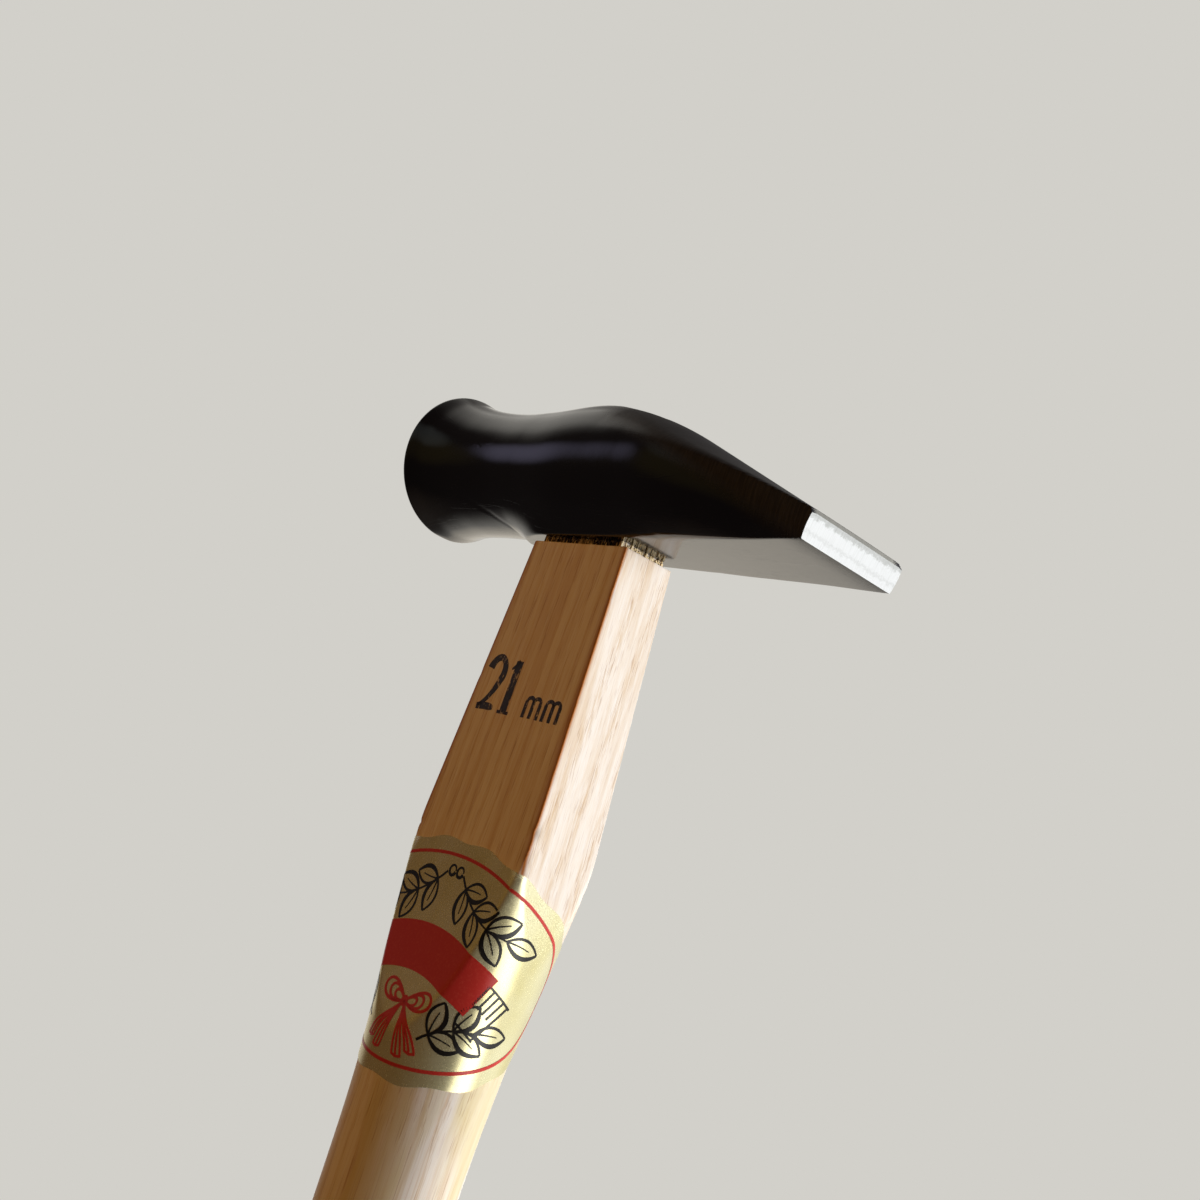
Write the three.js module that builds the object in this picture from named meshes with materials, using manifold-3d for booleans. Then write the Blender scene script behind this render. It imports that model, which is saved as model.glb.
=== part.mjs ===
// A small Japanese hammer (genno) with a wooden handle. The forged head has a round striking face at
// one end and a wide, thin peen at the other, and it is ground flat underneath. The handle is planed
// flat on four sides below the head and runs out into an oval grip with a paper-thin foil label.
// Millimetres. Z points up the handle to the head, X from the round face to the peen. The origin is
// the middle of the handle's flat butt.

import * as THREE from 'three';
import { mergeVertices } from 'three/addons/utils/BufferGeometryUtils.js';
import Module from 'manifold-3d';

const wasm = await Module();
wasm.setup();

// The head's own frame: X = 0 in the middle of the eye, Z = 0 on the flat belly.

// Head, along X
const faceToEye = 36.4;
const neckToEye = 20;
const eyeToWidest = 14;
const eyeToPeen = 39.4;

// Head, radius of its round sections
const faceRadius = 10.5;
const faceEdgeRound = 0.5;
const neckRadius = 8.55;
const widestRadius = 10.3;
const peenRadius = 8.1;

// Head, height of the middle of its round sections above the belly; the widest one touches the crest
const crestHeight = 19;
const faceAxisHeight = 10.5;
const neckAxisHeight = 9.6;
const widestAxisHeight = crestHeight - widestRadius;
const peenAxisHeight = 1.8;

// Head, ground faces
const peenThickness = 3.3;
const peenEdgeBreak = 0.5;
const slopeAngle = THREE.MathUtils.degToRad(23);
const peenEndLean = slopeAngle / 2;
const crestRound = 11.5;
const bellyBehindEye = 14;
const bellyWidthAtEye = 9.5;
const bellyWidthAtWidest = 11.4;
const flankBehindEye = 12;
const crownRadius = 13;
const shoulderBevelAtEye = 1.9;
const shoulderBevelAtPeen = 0.3;
const shoulderBevelAngle = THREE.MathUtils.degToRad(38);

// Eye, tenon and wedge
const eyeLength = 14.8;
const eyeWidth = 6.8;
const tenonClearance = 0.05;
const tenonSink = 0.9;
const fringeHeight = 0.8;
const wedgeLength = 8;
const wedgeDepth = 11;
const wedgeTopThickness = 2;
const wedgeTipThickness = 0.5;
const wedgeFromEyeEnd = 0.9;
const wedgeBehindEye = (eyeLength - wedgeLength) / 2 - wedgeFromEyeEnd;
const wedgeSink = 0.15;
const wedgeClearance = 0.05;
const slotExtraDepth = 0.5;

// Handle
const bellyAboveButt = 280;
const waistAboveButt = 180;
const buttHalfWidth = 11.2;
const waistHalfWidth = 8.8;
const upperHalfWidth = 13.2;
const gripThicknessRatio = 0.8;
const buttEdgeRound = 1.5;
const flatLength = 40;
const flatWidthAtHead = 17.4;
const flatWidthAtEnd = 21.8;
const flatThicknessAtHead = 8;
const flatThicknessAtEnd = 10.5;
const runOutLength = 32;
const runOutRise = 5;

// Label
const labelHeight = 28;
const labelGirth = 46.6;
const labelBelowBelly = 53;
const labelGap = 0.05;
const labelThickness = 0.15;

// How far a cut runs past the surface that it cuts
const overrun = 2;

// Rings along the head between two neighbours of this list, as [share of the way along X, share of the
// change of radius, share of the change of axis height]
const flareShares = [
  [0, 0, 0], [0.17, 0.41, 0.25], [0.3, 0.61, 0.4], [0.43, 0.76, 0.54], [0.68, 0.93, 0.79],
];
const cheekShares = [
  [0, 0, 0], [0.2, 0.17, 0.18], [0.44, 0.56, 0.34], [0.68, 0.75, 0.44], [0.82, 0.87, 0.53],
];
const taperShares = [
  [0, 0, 0], [0.2, 0.14, 0.12], [0.4, 0.43, 0.28], [0.68, 0.87, 0.58], [1, 1, 1],
];

// The grip's half width, as [share of the waist's height, share of the step from the waist to the butt]
// and as [share of the way from the belly to the waist, share of the step from the waist to the top]
const lowerGripShares = [[0, 0.94], [0.22, 1], [0.5, 0.66], [0.78, 0.17], [1, 0]];
const upperGripShares = [
  [0.84, 0.02], [0.68, 0.11], [0.6, 0.24], [0.54, 0.41], [0.48, 0.58],
  [0.42, 0.77], [0.36, 0.89], [0.2, 0.98], [0, 1],
];

// Facet counts
const headSides = 56;
const headRings = 40;
const handleSides = 48;
const handleRings = 40;
const edgeSteps = 4;
const outlineSteps = 24;
const crownSteps = 12;

// Solids: a closed three.js geometry as a manifold, and back

function toSolid(geometry) {
  const bare = new THREE.BufferGeometry();
  bare.setAttribute('position', geometry.getAttribute('position'));
  bare.setIndex(geometry.getIndex());
  const merged = mergeVertices(bare);
  const corners = merged.getIndex().array;
  const triangles = [];
  for (let i = 0; i < corners.length; i += 3) {
    const [a, b, c] = [corners[i], corners[i + 1], corners[i + 2]];
    if (a !== b && b !== c && c !== a) {
      triangles.push(a, b, c);
    }
  }
  const vertProperties = new Float32Array(merged.getAttribute('position').array);
  const triVerts = new Uint32Array(triangles);
  return new wasm.Manifold(new wasm.Mesh({ numProp: 3, vertProperties, triVerts }));
}

function toGeometry(solid) {
  const mesh = solid.getMesh();
  const geometry = new THREE.BufferGeometry();
  geometry.setAttribute('position', new THREE.BufferAttribute(mesh.vertProperties, mesh.numProp));
  geometry.setIndex(new THREE.BufferAttribute(mesh.triVerts, 1));
  const faceted = geometry.toNonIndexed();
  faceted.computeVertexNormals();
  return faceted;
}

// A box from its lowest to its highest corner
function boxBetween(low, high) {
  const size = high.clone().sub(low);
  const geometry = new THREE.BoxGeometry(size.x, size.y, size.z);
  const middle = low.clone().add(high).multiplyScalar(0.5);
  geometry.translate(middle.x, middle.y, middle.z);
  return toSolid(geometry);
}

function extrusion(depth) {
  return { depth, bevelEnabled: false, curveSegments: outlineSteps };
}

// An outline in X and Z pushed out to both sides of Y = 0
function outlineAlongY(shape, halfDepth, steps) {
  const geometry = new THREE.ExtrudeGeometry(shape, { ...extrusion(2 * halfDepth), steps });
  geometry.translate(0, 0, -halfDepth);
  geometry.rotateX(Math.PI / 2);
  return geometry;
}

function prismAlongY(shape, halfDepth) {
  return toSolid(outlineAlongY(shape, halfDepth, 1));
}

// An outline in Y and Z pushed out to both sides of X = 0
function prismAlongX(shape, halfDepth) {
  const geometry = new THREE.ExtrudeGeometry(shape, extrusion(2 * halfDepth));
  geometry.translate(0, 0, -halfDepth);
  geometry.rotateX(Math.PI / 2);
  geometry.rotateZ(Math.PI / 2);
  return toSolid(geometry);
}

// Head

// Rings from the round face to the peen: position along X, radius, and height of the middle
function headStations() {
  const marks = [
    [-faceToEye + faceEdgeRound, faceRadius, faceAxisHeight],
    [-neckToEye, neckRadius, neckAxisHeight],
    [eyeToWidest, widestRadius, widestAxisHeight],
    [eyeToPeen, peenRadius, peenAxisHeight],
  ];
  const stations = [];
  [flareShares, cheekShares, taperShares].forEach((shares, i) => {
    const [from, to] = [marks[i], marks[i + 1]];
    for (const share of shares) {
      stations.push(new THREE.Vector3(...share.map((part, k) => THREE.MathUtils.lerp(from[k], to[k], part))));
    }
  });
  return new THREE.CatmullRomCurve3(stations).getSpacedPoints(headRings);
}

const stations = headStations();

// The ring at a place along the head
function ringAt(x) {
  const after = stations.findIndex((station) => station.x >= x);
  const next = after < 0 ? stations.length - 1 : Math.max(after, 1);
  const [a, b] = [stations[next - 1], stations[next]];
  return a.clone().lerp(b, (x - a.x) / (b.x - a.x));
}

// Height of the top slope above the belly
function slopeHeight(x) {
  return peenThickness + (eyeToPeen - x) * Math.tan(slopeAngle);
}

// How far a section reaches at an angle from straight down: its radius, or beside the eye the straight
// flank that leaves the round on a tangent and comes down through the belly's edge
function reachOf(ring, angle) {
  const along = Math.min(ring.x / eyeToWidest, 1);
  const across = THREE.MathUtils.lerp(bellyWidthAtEye, bellyWidthAtWidest, along) / 2;
  const toEdge = Math.hypot(across, ring.z);
  const tangent = Math.atan2(across, ring.z) + Math.acos(Math.min(ring.y / toEdge, 1));
  if (angle > tangent || toEdge < ring.y) {
    return ring.y;
  }
  const share = THREE.MathUtils.smoothstep(ring.x, -flankBehindEye, -eyeLength / 2);
  const flank = Math.min(ring.y / Math.cos(tangent - angle), (ring.z + overrun) / Math.cos(angle));
  return THREE.MathUtils.lerp(ring.y, flank, share);
}

// Sections along X, each lifted to the height of its own middle
function roundBody() {
  const face = stations[0];
  const rings = [new THREE.Vector3(-faceToEye, 0, face.z)];
  for (let i = 0; i < edgeSteps; i += 1) {
    const turn = (Math.PI / 2) * (i / edgeSteps);
    const inset = faceEdgeRound * (1 - Math.sin(turn));
    const back = faceEdgeRound * (1 - Math.cos(turn));
    rings.push(new THREE.Vector3(-faceToEye + back, faceRadius - inset, face.z));
  }
  rings.push(...stations);
  rings.push(new THREE.Vector3(eyeToPeen, 0, peenAxisHeight));
  const profile = rings.map((ring) => new THREE.Vector2(ring.y, ring.x));
  const geometry = new THREE.LatheGeometry(profile, headSides);
  geometry.rotateZ(-Math.PI / 2);
  const position = geometry.getAttribute('position');
  for (let i = 0; i < position.count; i += 1) {
    const ring = rings[i % rings.length];
    const [y, z] = [position.getY(i), position.getZ(i)];
    const growth = ring.y > 0 ? reachOf(ring, Math.atan2(Math.abs(y), -z)) / ring.y : 1;
    position.setY(i, y * growth);
    position.setZ(i, z * growth + ring.z);
  }
  return toSolid(geometry);
}

// Everything above the crest, the slope and the peen's broken top edge. The crest is crowned: it drops
// to both sides along an arc, and the drop fades out down the slope
function aboveCrest() {
  const cornerX = eyeToPeen - (crestHeight - peenThickness) / Math.tan(slopeAngle);
  const top = crestHeight + overrun;
  const shape = new THREE.Shape();
  shape.moveTo(-bellyBehindEye, top);
  shape.lineTo(-bellyBehindEye, crestHeight);
  shape.lineTo(cornerX - crestRound, crestHeight);
  const onSlope = cornerX + crestRound * Math.cos(slopeAngle);
  shape.quadraticCurveTo(cornerX, crestHeight, onSlope, slopeHeight(onSlope));
  shape.lineTo(eyeToPeen - peenEdgeBreak, slopeHeight(eyeToPeen - peenEdgeBreak));
  shape.lineTo(eyeToPeen, peenThickness - peenEdgeBreak);
  shape.lineTo(eyeToPeen + overrun, peenThickness - peenEdgeBreak);
  shape.lineTo(eyeToPeen + overrun, top);
  const geometry = outlineAlongY(shape, widestRadius + overrun, crownSteps);
  const position = geometry.getAttribute('position');
  for (let i = 0; i < position.count; i += 1) {
    const share = THREE.MathUtils.clamp((eyeToPeen - position.getX(i)) / (eyeToPeen - cornerX), 0, 1);
    position.setZ(i, position.getZ(i) - (share * position.getY(i) ** 2) / (2 * crownRadius));
  }
  return toSolid(geometry);
}

// Everything under the flat belly, which starts behind the eye
function underBelly() {
  const halfWidth = widestRadius + overrun;
  return boxBetween(
    new THREE.Vector3(-bellyBehindEye, -halfWidth, -widestRadius),
    new THREE.Vector3(eyeToPeen + overrun, halfWidth, 0),
  );
}

// What the flat along one shoulder of the slope takes off; side is 1 or -1
function besideSlope(side) {
  const inset = (x, bevel) => {
    const ring = ringAt(x);
    const rise = Math.min(slopeHeight(x) - ring.z, ring.y - bevel);
    return new THREE.Vector3(x, side * (Math.sqrt(ring.y ** 2 - rise ** 2) - bevel), ring.z + rise);
  };
  const start = inset(eyeLength / 2, shoulderBevelAtEye);
  const end = inset(eyeToPeen, shoulderBevelAtPeen);
  const along = end.clone().sub(start).normalize();
  const down = new THREE.Vector3(0, side * Math.cos(shoulderBevelAngle), -Math.sin(shoulderBevelAngle));
  const out = along.clone().cross(down).multiplyScalar(side).normalize();
  const across = out.clone().cross(along);
  const geometry = new THREE.BoxGeometry(neckToEye + eyeToPeen, 2 * eyeToPeen, widestRadius);
  geometry.translate((eyeToPeen - neckToEye) / 2, 0, widestRadius / 2);
  geometry.applyMatrix4(new THREE.Matrix4().makeBasis(along, across, out).setPosition(start));
  return toSolid(geometry);
}

// What is ground off to leave the peen's end square to the middle of the wedge that it closes
function beyondPeen() {
  const reach = widestRadius + overrun;
  const geometry = new THREE.BoxGeometry(reach, 2 * reach, 2 * reach);
  geometry.translate(reach / 2, 0, 0);
  geometry.rotateY(peenEndLean);
  geometry.translate(eyeToPeen, 0, peenThickness);
  return toSolid(geometry);
}

function eyeHole() {
  return boxBetween(
    new THREE.Vector3(-eyeLength / 2, -eyeWidth / 2, -overrun),
    new THREE.Vector3(eyeLength / 2, eyeWidth / 2, crestHeight + overrun),
  );
}

function makeHead() {
  return roundBody()
    .subtract(aboveCrest())
    .subtract(underBelly())
    .subtract(besideSlope(1))
    .subtract(besideSlope(-1))
    .subtract(beyondPeen())
    .subtract(eyeHole());
}

// Handle

// The grip's half width along its height, from the waist and the two swells
function gripCurve() {
  const points = [];
  for (const [height, out] of lowerGripShares) {
    const halfWidth = THREE.MathUtils.lerp(waistHalfWidth, buttHalfWidth, out);
    points.push(new THREE.Vector2(halfWidth, buttEdgeRound + height * (waistAboveButt - buttEdgeRound)));
  }
  for (const [drop, out] of upperGripShares) {
    const halfWidth = THREE.MathUtils.lerp(waistHalfWidth, upperHalfWidth, out);
    points.push(new THREE.Vector2(halfWidth, bellyAboveButt - drop * (bellyAboveButt - waistAboveButt)));
  }
  return new THREE.SplineCurve(points).getSpacedPoints(handleRings);
}

// The oval stick, grown outwards by a skin
function ovalStick(skin) {
  const curve = gripCurve();
  const butt = curve[0];
  const profile = [new THREE.Vector2(0, 0)];
  for (let i = 0; i < edgeSteps; i += 1) {
    const turn = (Math.PI / 2) * (i / edgeSteps);
    const inset = buttEdgeRound * (1 - Math.sin(turn));
    profile.push(new THREE.Vector2(butt.x - inset, buttEdgeRound * (1 - Math.cos(turn))));
  }
  profile.push(...curve);
  profile.push(new THREE.Vector2(0, bellyAboveButt));
  const grown = profile.map((point) => new THREE.Vector2(point.x > 0 ? point.x + skin : 0, point.y));
  const geometry = new THREE.LatheGeometry(grown, handleSides);
  geometry.rotateX(Math.PI / 2);
  geometry.scale(1, gripThicknessRatio, 1);
  return toSolid(geometry);
}

// Between the two planed flats that face the round face and the peen
function betweenEndFlats(skin) {
  const atHead = flatWidthAtHead / 2 + skin;
  const widening = (flatWidthAtEnd - flatWidthAtHead) / 2 / flatLength;
  const atButt = atHead + bellyAboveButt * widening;
  const shape = new THREE.Shape();
  shape.moveTo(-atHead, bellyAboveButt);
  shape.lineTo(-atButt, 0);
  shape.lineTo(atButt, 0);
  shape.lineTo(atHead, bellyAboveButt);
  return prismAlongY(shape, upperHalfWidth);
}

// Between the two wide planed flats, which run out into the grip below their straight length
function betweenSideFlats(skin) {
  const atHead = flatThicknessAtHead / 2 + skin;
  const atEnd = flatThicknessAtEnd / 2 + skin;
  const steepness = (atEnd - atHead) / flatLength;
  const flatEnd = bellyAboveButt - flatLength;
  const bend = atEnd + steepness * (runOutLength / 2);
  const outer = atEnd + runOutRise;
  const shape = new THREE.Shape();
  shape.moveTo(-atHead, bellyAboveButt);
  shape.lineTo(-atEnd, flatEnd);
  shape.quadraticCurveTo(-bend, flatEnd - runOutLength / 2, -outer, flatEnd - runOutLength);
  shape.lineTo(-upperHalfWidth, flatEnd - runOutLength);
  shape.lineTo(-upperHalfWidth, 0);
  shape.lineTo(upperHalfWidth, 0);
  shape.lineTo(upperHalfWidth, flatEnd - runOutLength);
  shape.lineTo(outer, flatEnd - runOutLength);
  shape.quadraticCurveTo(bend, flatEnd - runOutLength / 2, atEnd, flatEnd);
  shape.lineTo(atHead, bellyAboveButt);
  return prismAlongX(shape, upperHalfWidth);
}

function planedStick(skin) {
  return ovalStick(skin).intersect(betweenEndFlats(skin)).intersect(betweenSideFlats(skin));
}

// The slot's outline across the eye is the wedge's outline grown by a clearance
function wedgeShape(clearance, extraDepth) {
  const top = crestHeight - tenonSink - wedgeSink;
  const tip = top - wedgeDepth - extraDepth;
  const halfTop = wedgeTopThickness / 2 + clearance;
  const halfTip = wedgeTipThickness / 2 + clearance;
  const shape = new THREE.Shape();
  shape.moveTo(-halfTip, tip);
  shape.lineTo(halfTip, tip);
  shape.lineTo(halfTop, top);
  shape.lineTo(-halfTop, top);
  return shape;
}

function makeWedge() {
  return prismAlongX(wedgeShape(0, 0), wedgeLength / 2).translate([-wedgeBehindEye, 0, 0]);
}

function wedgeSlot() {
  const halfLength = wedgeLength / 2 + wedgeClearance;
  const halfWidth = wedgeTopThickness / 2 + wedgeClearance;
  const slot = prismAlongX(wedgeShape(wedgeClearance, slotExtraDepth), halfLength);
  const mouth = boxBetween(
    new THREE.Vector3(-halfLength, -halfWidth, crestHeight - tenonSink - wedgeSink - wedgeClearance),
    new THREE.Vector3(halfLength, halfWidth, crestHeight + overrun),
  );
  return slot.add(mouth).translate([-wedgeBehindEye, 0, 0]);
}

// The tenon fills the eye and is cut off along the head's crest, a little below it
function makeTenon() {
  const halfLength = eyeLength / 2 - tenonClearance;
  const halfWidth = eyeWidth / 2 - tenonClearance;
  const tenon = boxBetween(
    new THREE.Vector3(-halfLength, -halfWidth, -fringeHeight - overrun),
    new THREE.Vector3(halfLength, halfWidth, crestHeight),
  );
  return tenon.subtract(aboveCrest().translate([0, 0, -tenonSink])).subtract(wedgeSlot());
}

function makeHandle() {
  const top = bellyAboveButt - fringeHeight;
  const aboveTop = boxBetween(
    new THREE.Vector3(-upperHalfWidth, -upperHalfWidth, top),
    new THREE.Vector3(upperHalfWidth, upperHalfWidth, bellyAboveButt + overrun),
  );
  return planedStick(0).subtract(aboveTop).add(makeTenon().translate([0, 0, bellyAboveButt]));
}

// Label

// Half the label's height at a distance round the handle from the middle of its front
function labelHalfHeight(distance) {
  const share = Math.min(1, distance / (labelGirth / 2));
  return (labelHeight / 2) * Math.sqrt(1 - share ** 2);
}

// A closed outline from the upper half of it, as distances across and above its middle height
function mirroredShape(upper, middle) {
  const raised = upper.filter(([, rise]) => rise > 0);
  const above = upper.map(([across, rise]) => new THREE.Vector2(across, middle + rise));
  const below = raised.map(([across, rise]) => new THREE.Vector2(across, middle - rise));
  return new THREE.Shape([...above, ...below.reverse()]);
}

// Half the thickness of the handle between its wide flats at the label's middle
function frontAtLabel() {
  const steepness = (flatThicknessAtEnd - flatThicknessAtHead) / 2 / flatLength;
  const runOut = (labelBelowBelly - flatLength) / runOutLength;
  return flatThicknessAtEnd / 2 + steepness * (labelBelowBelly - flatLength) + runOutRise * runOut ** 2;
}

// The oval's half width at the label's middle
function ovalAtLabel() {
  const height = bellyAboveButt - labelBelowBelly;
  return gripCurve().find((point) => point.y >= height).x;
}

// The oval from the front flat's corner round to where the label ends, as points with the distance
// from the middle of the front in z
function labelPath() {
  const halfWidth = ovalAtLabel();
  const halfDepth = halfWidth * gripThicknessRatio;
  const firstTurn = -Math.asin(Math.min(frontAtLabel() / halfDepth, 1));
  const corner = halfWidth * Math.cos(firstTurn);
  const path = [new THREE.Vector3(corner, -frontAtLabel(), corner)];
  for (let i = 1; i <= outlineSteps; i += 1) {
    const turn = THREE.MathUtils.lerp(firstTurn, Math.PI / 2, i / outlineSteps);
    const point = new THREE.Vector3(halfWidth * Math.cos(turn), halfDepth * Math.sin(turn), 0);
    const last = path[path.length - 1];
    point.z = last.z + Math.hypot(point.x - last.x, point.y - last.y);
    if (point.z >= labelGirth / 2) {
      path.push(last.clone().lerp(point, (labelGirth / 2 - last.z) / (point.z - last.z)));
      break;
    }
    path.push(point);
  }
  return path;
}

// The label's outline seen from the front, which past the front flat's corners keeps their height
function labelFront() {
  const corner = labelPath()[0].x;
  const middle = bellyAboveButt - labelBelowBelly;
  const outer = upperHalfWidth + overrun;
  const upper = [[-outer, labelHalfHeight(corner)]];
  for (let i = 0; i <= outlineSteps; i += 1) {
    const x = THREE.MathUtils.lerp(-corner, corner, i / outlineSteps);
    upper.push([x, labelHalfHeight(Math.abs(x))]);
  }
  upper.push([outer, labelHalfHeight(corner)]);
  return prismAlongY(mirroredShape(upper, middle), upperHalfWidth + overrun);
}

// The label's outline seen from the side, where its distance round the handle follows the oval
function labelSide() {
  const middle = bellyAboveButt - labelBelowBelly;
  const front = flatThicknessAtEnd / 2;
  const full = labelHeight / 2 + overrun;
  const upper = [[-upperHalfWidth, full], [-front, full]];
  for (const point of labelPath()) {
    if (point.y > -front) {
      upper.push([point.y, labelHalfHeight(point.z)]);
    }
  }
  return prismAlongX(mirroredShape(upper, middle), upperHalfWidth + overrun);
}

// The bare back of the handle between the label's two ends
function betweenLabelEnds() {
  const end = labelPath().pop();
  const middle = bellyAboveButt - labelBelowBelly;
  return boxBetween(
    new THREE.Vector3(-end.x, 0, middle - labelHeight),
    new THREE.Vector3(end.x, upperHalfWidth, middle + labelHeight),
  );
}

function makeLabel() {
  const outside = planedStick(labelGap + labelThickness);
  const inside = planedStick(labelGap);
  const patch = labelFront().intersect(labelSide()).subtract(betweenLabelEnds());
  return patch.intersect(outside).subtract(inside);
}

// Assembly

function addPart(group, name, solid, material) {
  const mesh = new THREE.Mesh(toGeometry(solid), new THREE.MeshStandardMaterial(material));
  mesh.name = name;
  group.add(mesh);
}

const hammer = new THREE.Group();
hammer.name = 'genno_hammer';

const headGroup = new THREE.Group();
headGroup.position.z = bellyAboveButt;
addPart(headGroup, 'head', makeHead(), { color: 0x0e0d10, roughness: 0.25, metalness: 0.1 });
addPart(headGroup, 'wedge', makeWedge(), { color: 0x8f9090, roughness: 0.4, metalness: 1 });
hammer.add(headGroup);

addPart(hammer, 'handle', makeHandle(), { color: 0xdcb78e, roughness: 0.6, metalness: 0 });
addPart(hammer, 'label', makeLabel(), { color: 0xcfc07a, roughness: 0.3, metalness: 0.6 });

export default hammer;
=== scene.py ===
import bmesh
import bpy
import numpy as np
from bpy.props import FloatProperty, FloatVectorProperty, IntProperty, PointerProperty
from bpy.types import Node, NodeSocket, Operator, Panel, PropertyGroup, Scene
from mathutils import Matrix, Vector


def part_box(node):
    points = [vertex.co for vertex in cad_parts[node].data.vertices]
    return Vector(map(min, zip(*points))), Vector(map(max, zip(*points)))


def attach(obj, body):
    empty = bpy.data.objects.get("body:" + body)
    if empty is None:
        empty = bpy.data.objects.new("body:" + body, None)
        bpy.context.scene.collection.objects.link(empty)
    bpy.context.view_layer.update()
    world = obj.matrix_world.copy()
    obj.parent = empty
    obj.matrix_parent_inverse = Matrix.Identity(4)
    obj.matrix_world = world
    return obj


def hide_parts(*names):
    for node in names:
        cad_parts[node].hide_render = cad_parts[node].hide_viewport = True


bl_info = {
    "name": "Genno Hammer",
    "version": (1, 0, 0),
    "blender": (4, 5, 0),
    "location": "3D View > Sidebar > Hammer",
    "description": "Dresses the packed frame of a small hammer with detailed pieces and finishes",
    "category": "Object",
}

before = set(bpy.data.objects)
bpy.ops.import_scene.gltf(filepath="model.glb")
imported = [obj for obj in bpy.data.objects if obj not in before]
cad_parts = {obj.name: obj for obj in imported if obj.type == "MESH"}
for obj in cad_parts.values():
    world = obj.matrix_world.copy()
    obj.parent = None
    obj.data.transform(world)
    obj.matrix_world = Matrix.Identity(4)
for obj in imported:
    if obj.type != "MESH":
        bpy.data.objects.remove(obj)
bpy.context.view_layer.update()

# BELLY, FACE_END and PEEN_REACH are in metres. Other lengths are in millimetres: along X from the
# eye's middle, and upwards from the belly or from the butt.
MM = 0.001
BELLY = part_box("head")[0].z
FACE_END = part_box("head")[0].x
PEEN_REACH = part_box("head")[1].x

# The head's round sections, in millimetres: [along X, radius, height of the middle above the belly]
HEAD_RINGS = np.array([
    (-35.9, 10.5, 10.5), (-33.2, 9.7, 10.28), (-31.13, 9.31, 10.14), (-29.06, 9.02, 10.01),
    (-25.09, 8.69, 9.79), (-20, 8.55, 9.6), (-13.2, 8.85, 9.44), (-5.04, 9.53, 9.29),
    (3.12, 9.86, 9.2), (7.88, 10.07, 9.12), (14, 10.3, 8.7), (19.08, 9.99, 7.87),
    (24.16, 9.35, 6.77), (31.27, 8.39, 4.7), (39.4, 8.1, 1.8),
])
PEEN = 39.4
PEEN_THICKNESS = 3.3
PEEN_BREAK = 0.5
PEEN_BARE_HALF = 7.4
BARE_UNDER_TOP = 0.12
FACE_BREAK = 0.5
CREST = 19.0
CREST_RISES_FROM = -8.0
CREST_BLEND = 4.7
SLOPE = np.tan(np.radians(23))
PEEN_LEAN = np.tan(np.radians(11.5))
LEAN_LENGTH = 8.0
CREST_CORNER = PEEN - (CREST - PEEN_THICKNESS) / SLOPE
CROWN_RADIUS = 13.0
BELLY_HALF_AT_EYE = 4.75
BELLY_WIDENING = 0.0679
FLANK_START = 17.0
WIDEST = 14.0
EYE_LENGTH = 14.8
EYE_WIDTH = 6.8
TENON_GAP = 0.05
TENON_SINK = 1.1
WEDGE_PROUD = 0.35
WEDGE_CROWN = 0.12
WEDGE_FOOT_HALF = 0.25
FRINGE_HEIGHT = 0.8

# The line that the forging left under the neck, as [along X, degrees round from the bottom]
NECK_LINE = np.array([(-15.4, -2), (-16.7, 19), (-19.6, 33), (-23.3, 44), (-26.5, 52)])
NECK_LINE_STARTS = -14.0
NECK_LINE_DEPTH = 0.05
NECK_LINE_WIDTH = 0.28
NECK_RADIUS = 8.7
FAR = 99.0

# The grip's half width, as [height above the butt, half width] in millimetres
GRIP = np.array([
    (1.5, 11.06), (40.8, 11.2), (90.8, 10.38), (140.7, 9.21), (180, 8.8), (196, 8.89), (212, 9.28),
    (220, 9.86), (226, 10.6), (232, 11.35), (238, 12.19), (244, 12.72), (260, 13.11), (280, 13.2),
])
GRIP_RATIO = 0.8
BUTT_EASE = 1.5
BELLY_MM = 280.0

# The handle's flats under the belly: half thicknesses there, growth per millimetre of drop, and the
# drop at which the wide flats start to run out
END_FLAT = 8.7
END_FLAT_GROWTH = 0.055
SIDE_FLAT = 4.0
SIDE_FLAT_GROWTH = 0.03125
FLATS_RUN_OUT = 40.0
RUN_OUT_LENGTH = 32.0

# The large knock on an arris, as [height above the butt, corner, depth, half length], and how far
# knocks and the painted shade along the arrises reach round the handle, in radians
LARGE_KNOCK = (244.2, 3, 0.4, 0.8)
KNOCK_TURN = 0.045
ARRIS_SHADE_TURN = 0.24 / 9.5


# Colours, curves and meshes

def linear(code):
    """A colour written as sRGB hex, as the linear values that sockets and properties take."""
    shares = np.array([int(code[i:i + 2], 16) for i in (1, 3, 5)]) / 255
    bent = np.where(shares <= 0.04045, shares / 12.92, ((shares + 0.055) / 1.055) ** 2.4)
    return (*bent.tolist(), 1.0)


def through(x, table, column=1):
    """Cubic pieces through a table's points, with the slope of the neighbours' chord at each."""
    xs, ys = table[:, 0], table[:, column]
    slopes = np.gradient(ys, xs)
    i = np.clip(np.searchsorted(xs, x) - 1, 0, len(xs) - 2)
    step = xs[i + 1] - xs[i]
    t = np.clip((x - xs[i]) / step, 0, 1)
    return (
        (2 * t**3 - 3 * t**2 + 1) * ys[i] + (t**3 - 2 * t**2 + t) * step * slopes[i]
        + (3 * t**2 - 2 * t**3) * ys[i + 1] + (t**3 - t**2) * step * slopes[i + 1]
    )


def soft_min(a, b, blend):
    """The smaller of two values, rounded by a quarter of the blend where they are equal."""
    share = np.clip(0.5 + 0.5 * (b - a) / blend, 0, 1)
    return b + (a - b) * share - blend * share * (1 - share)


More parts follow.
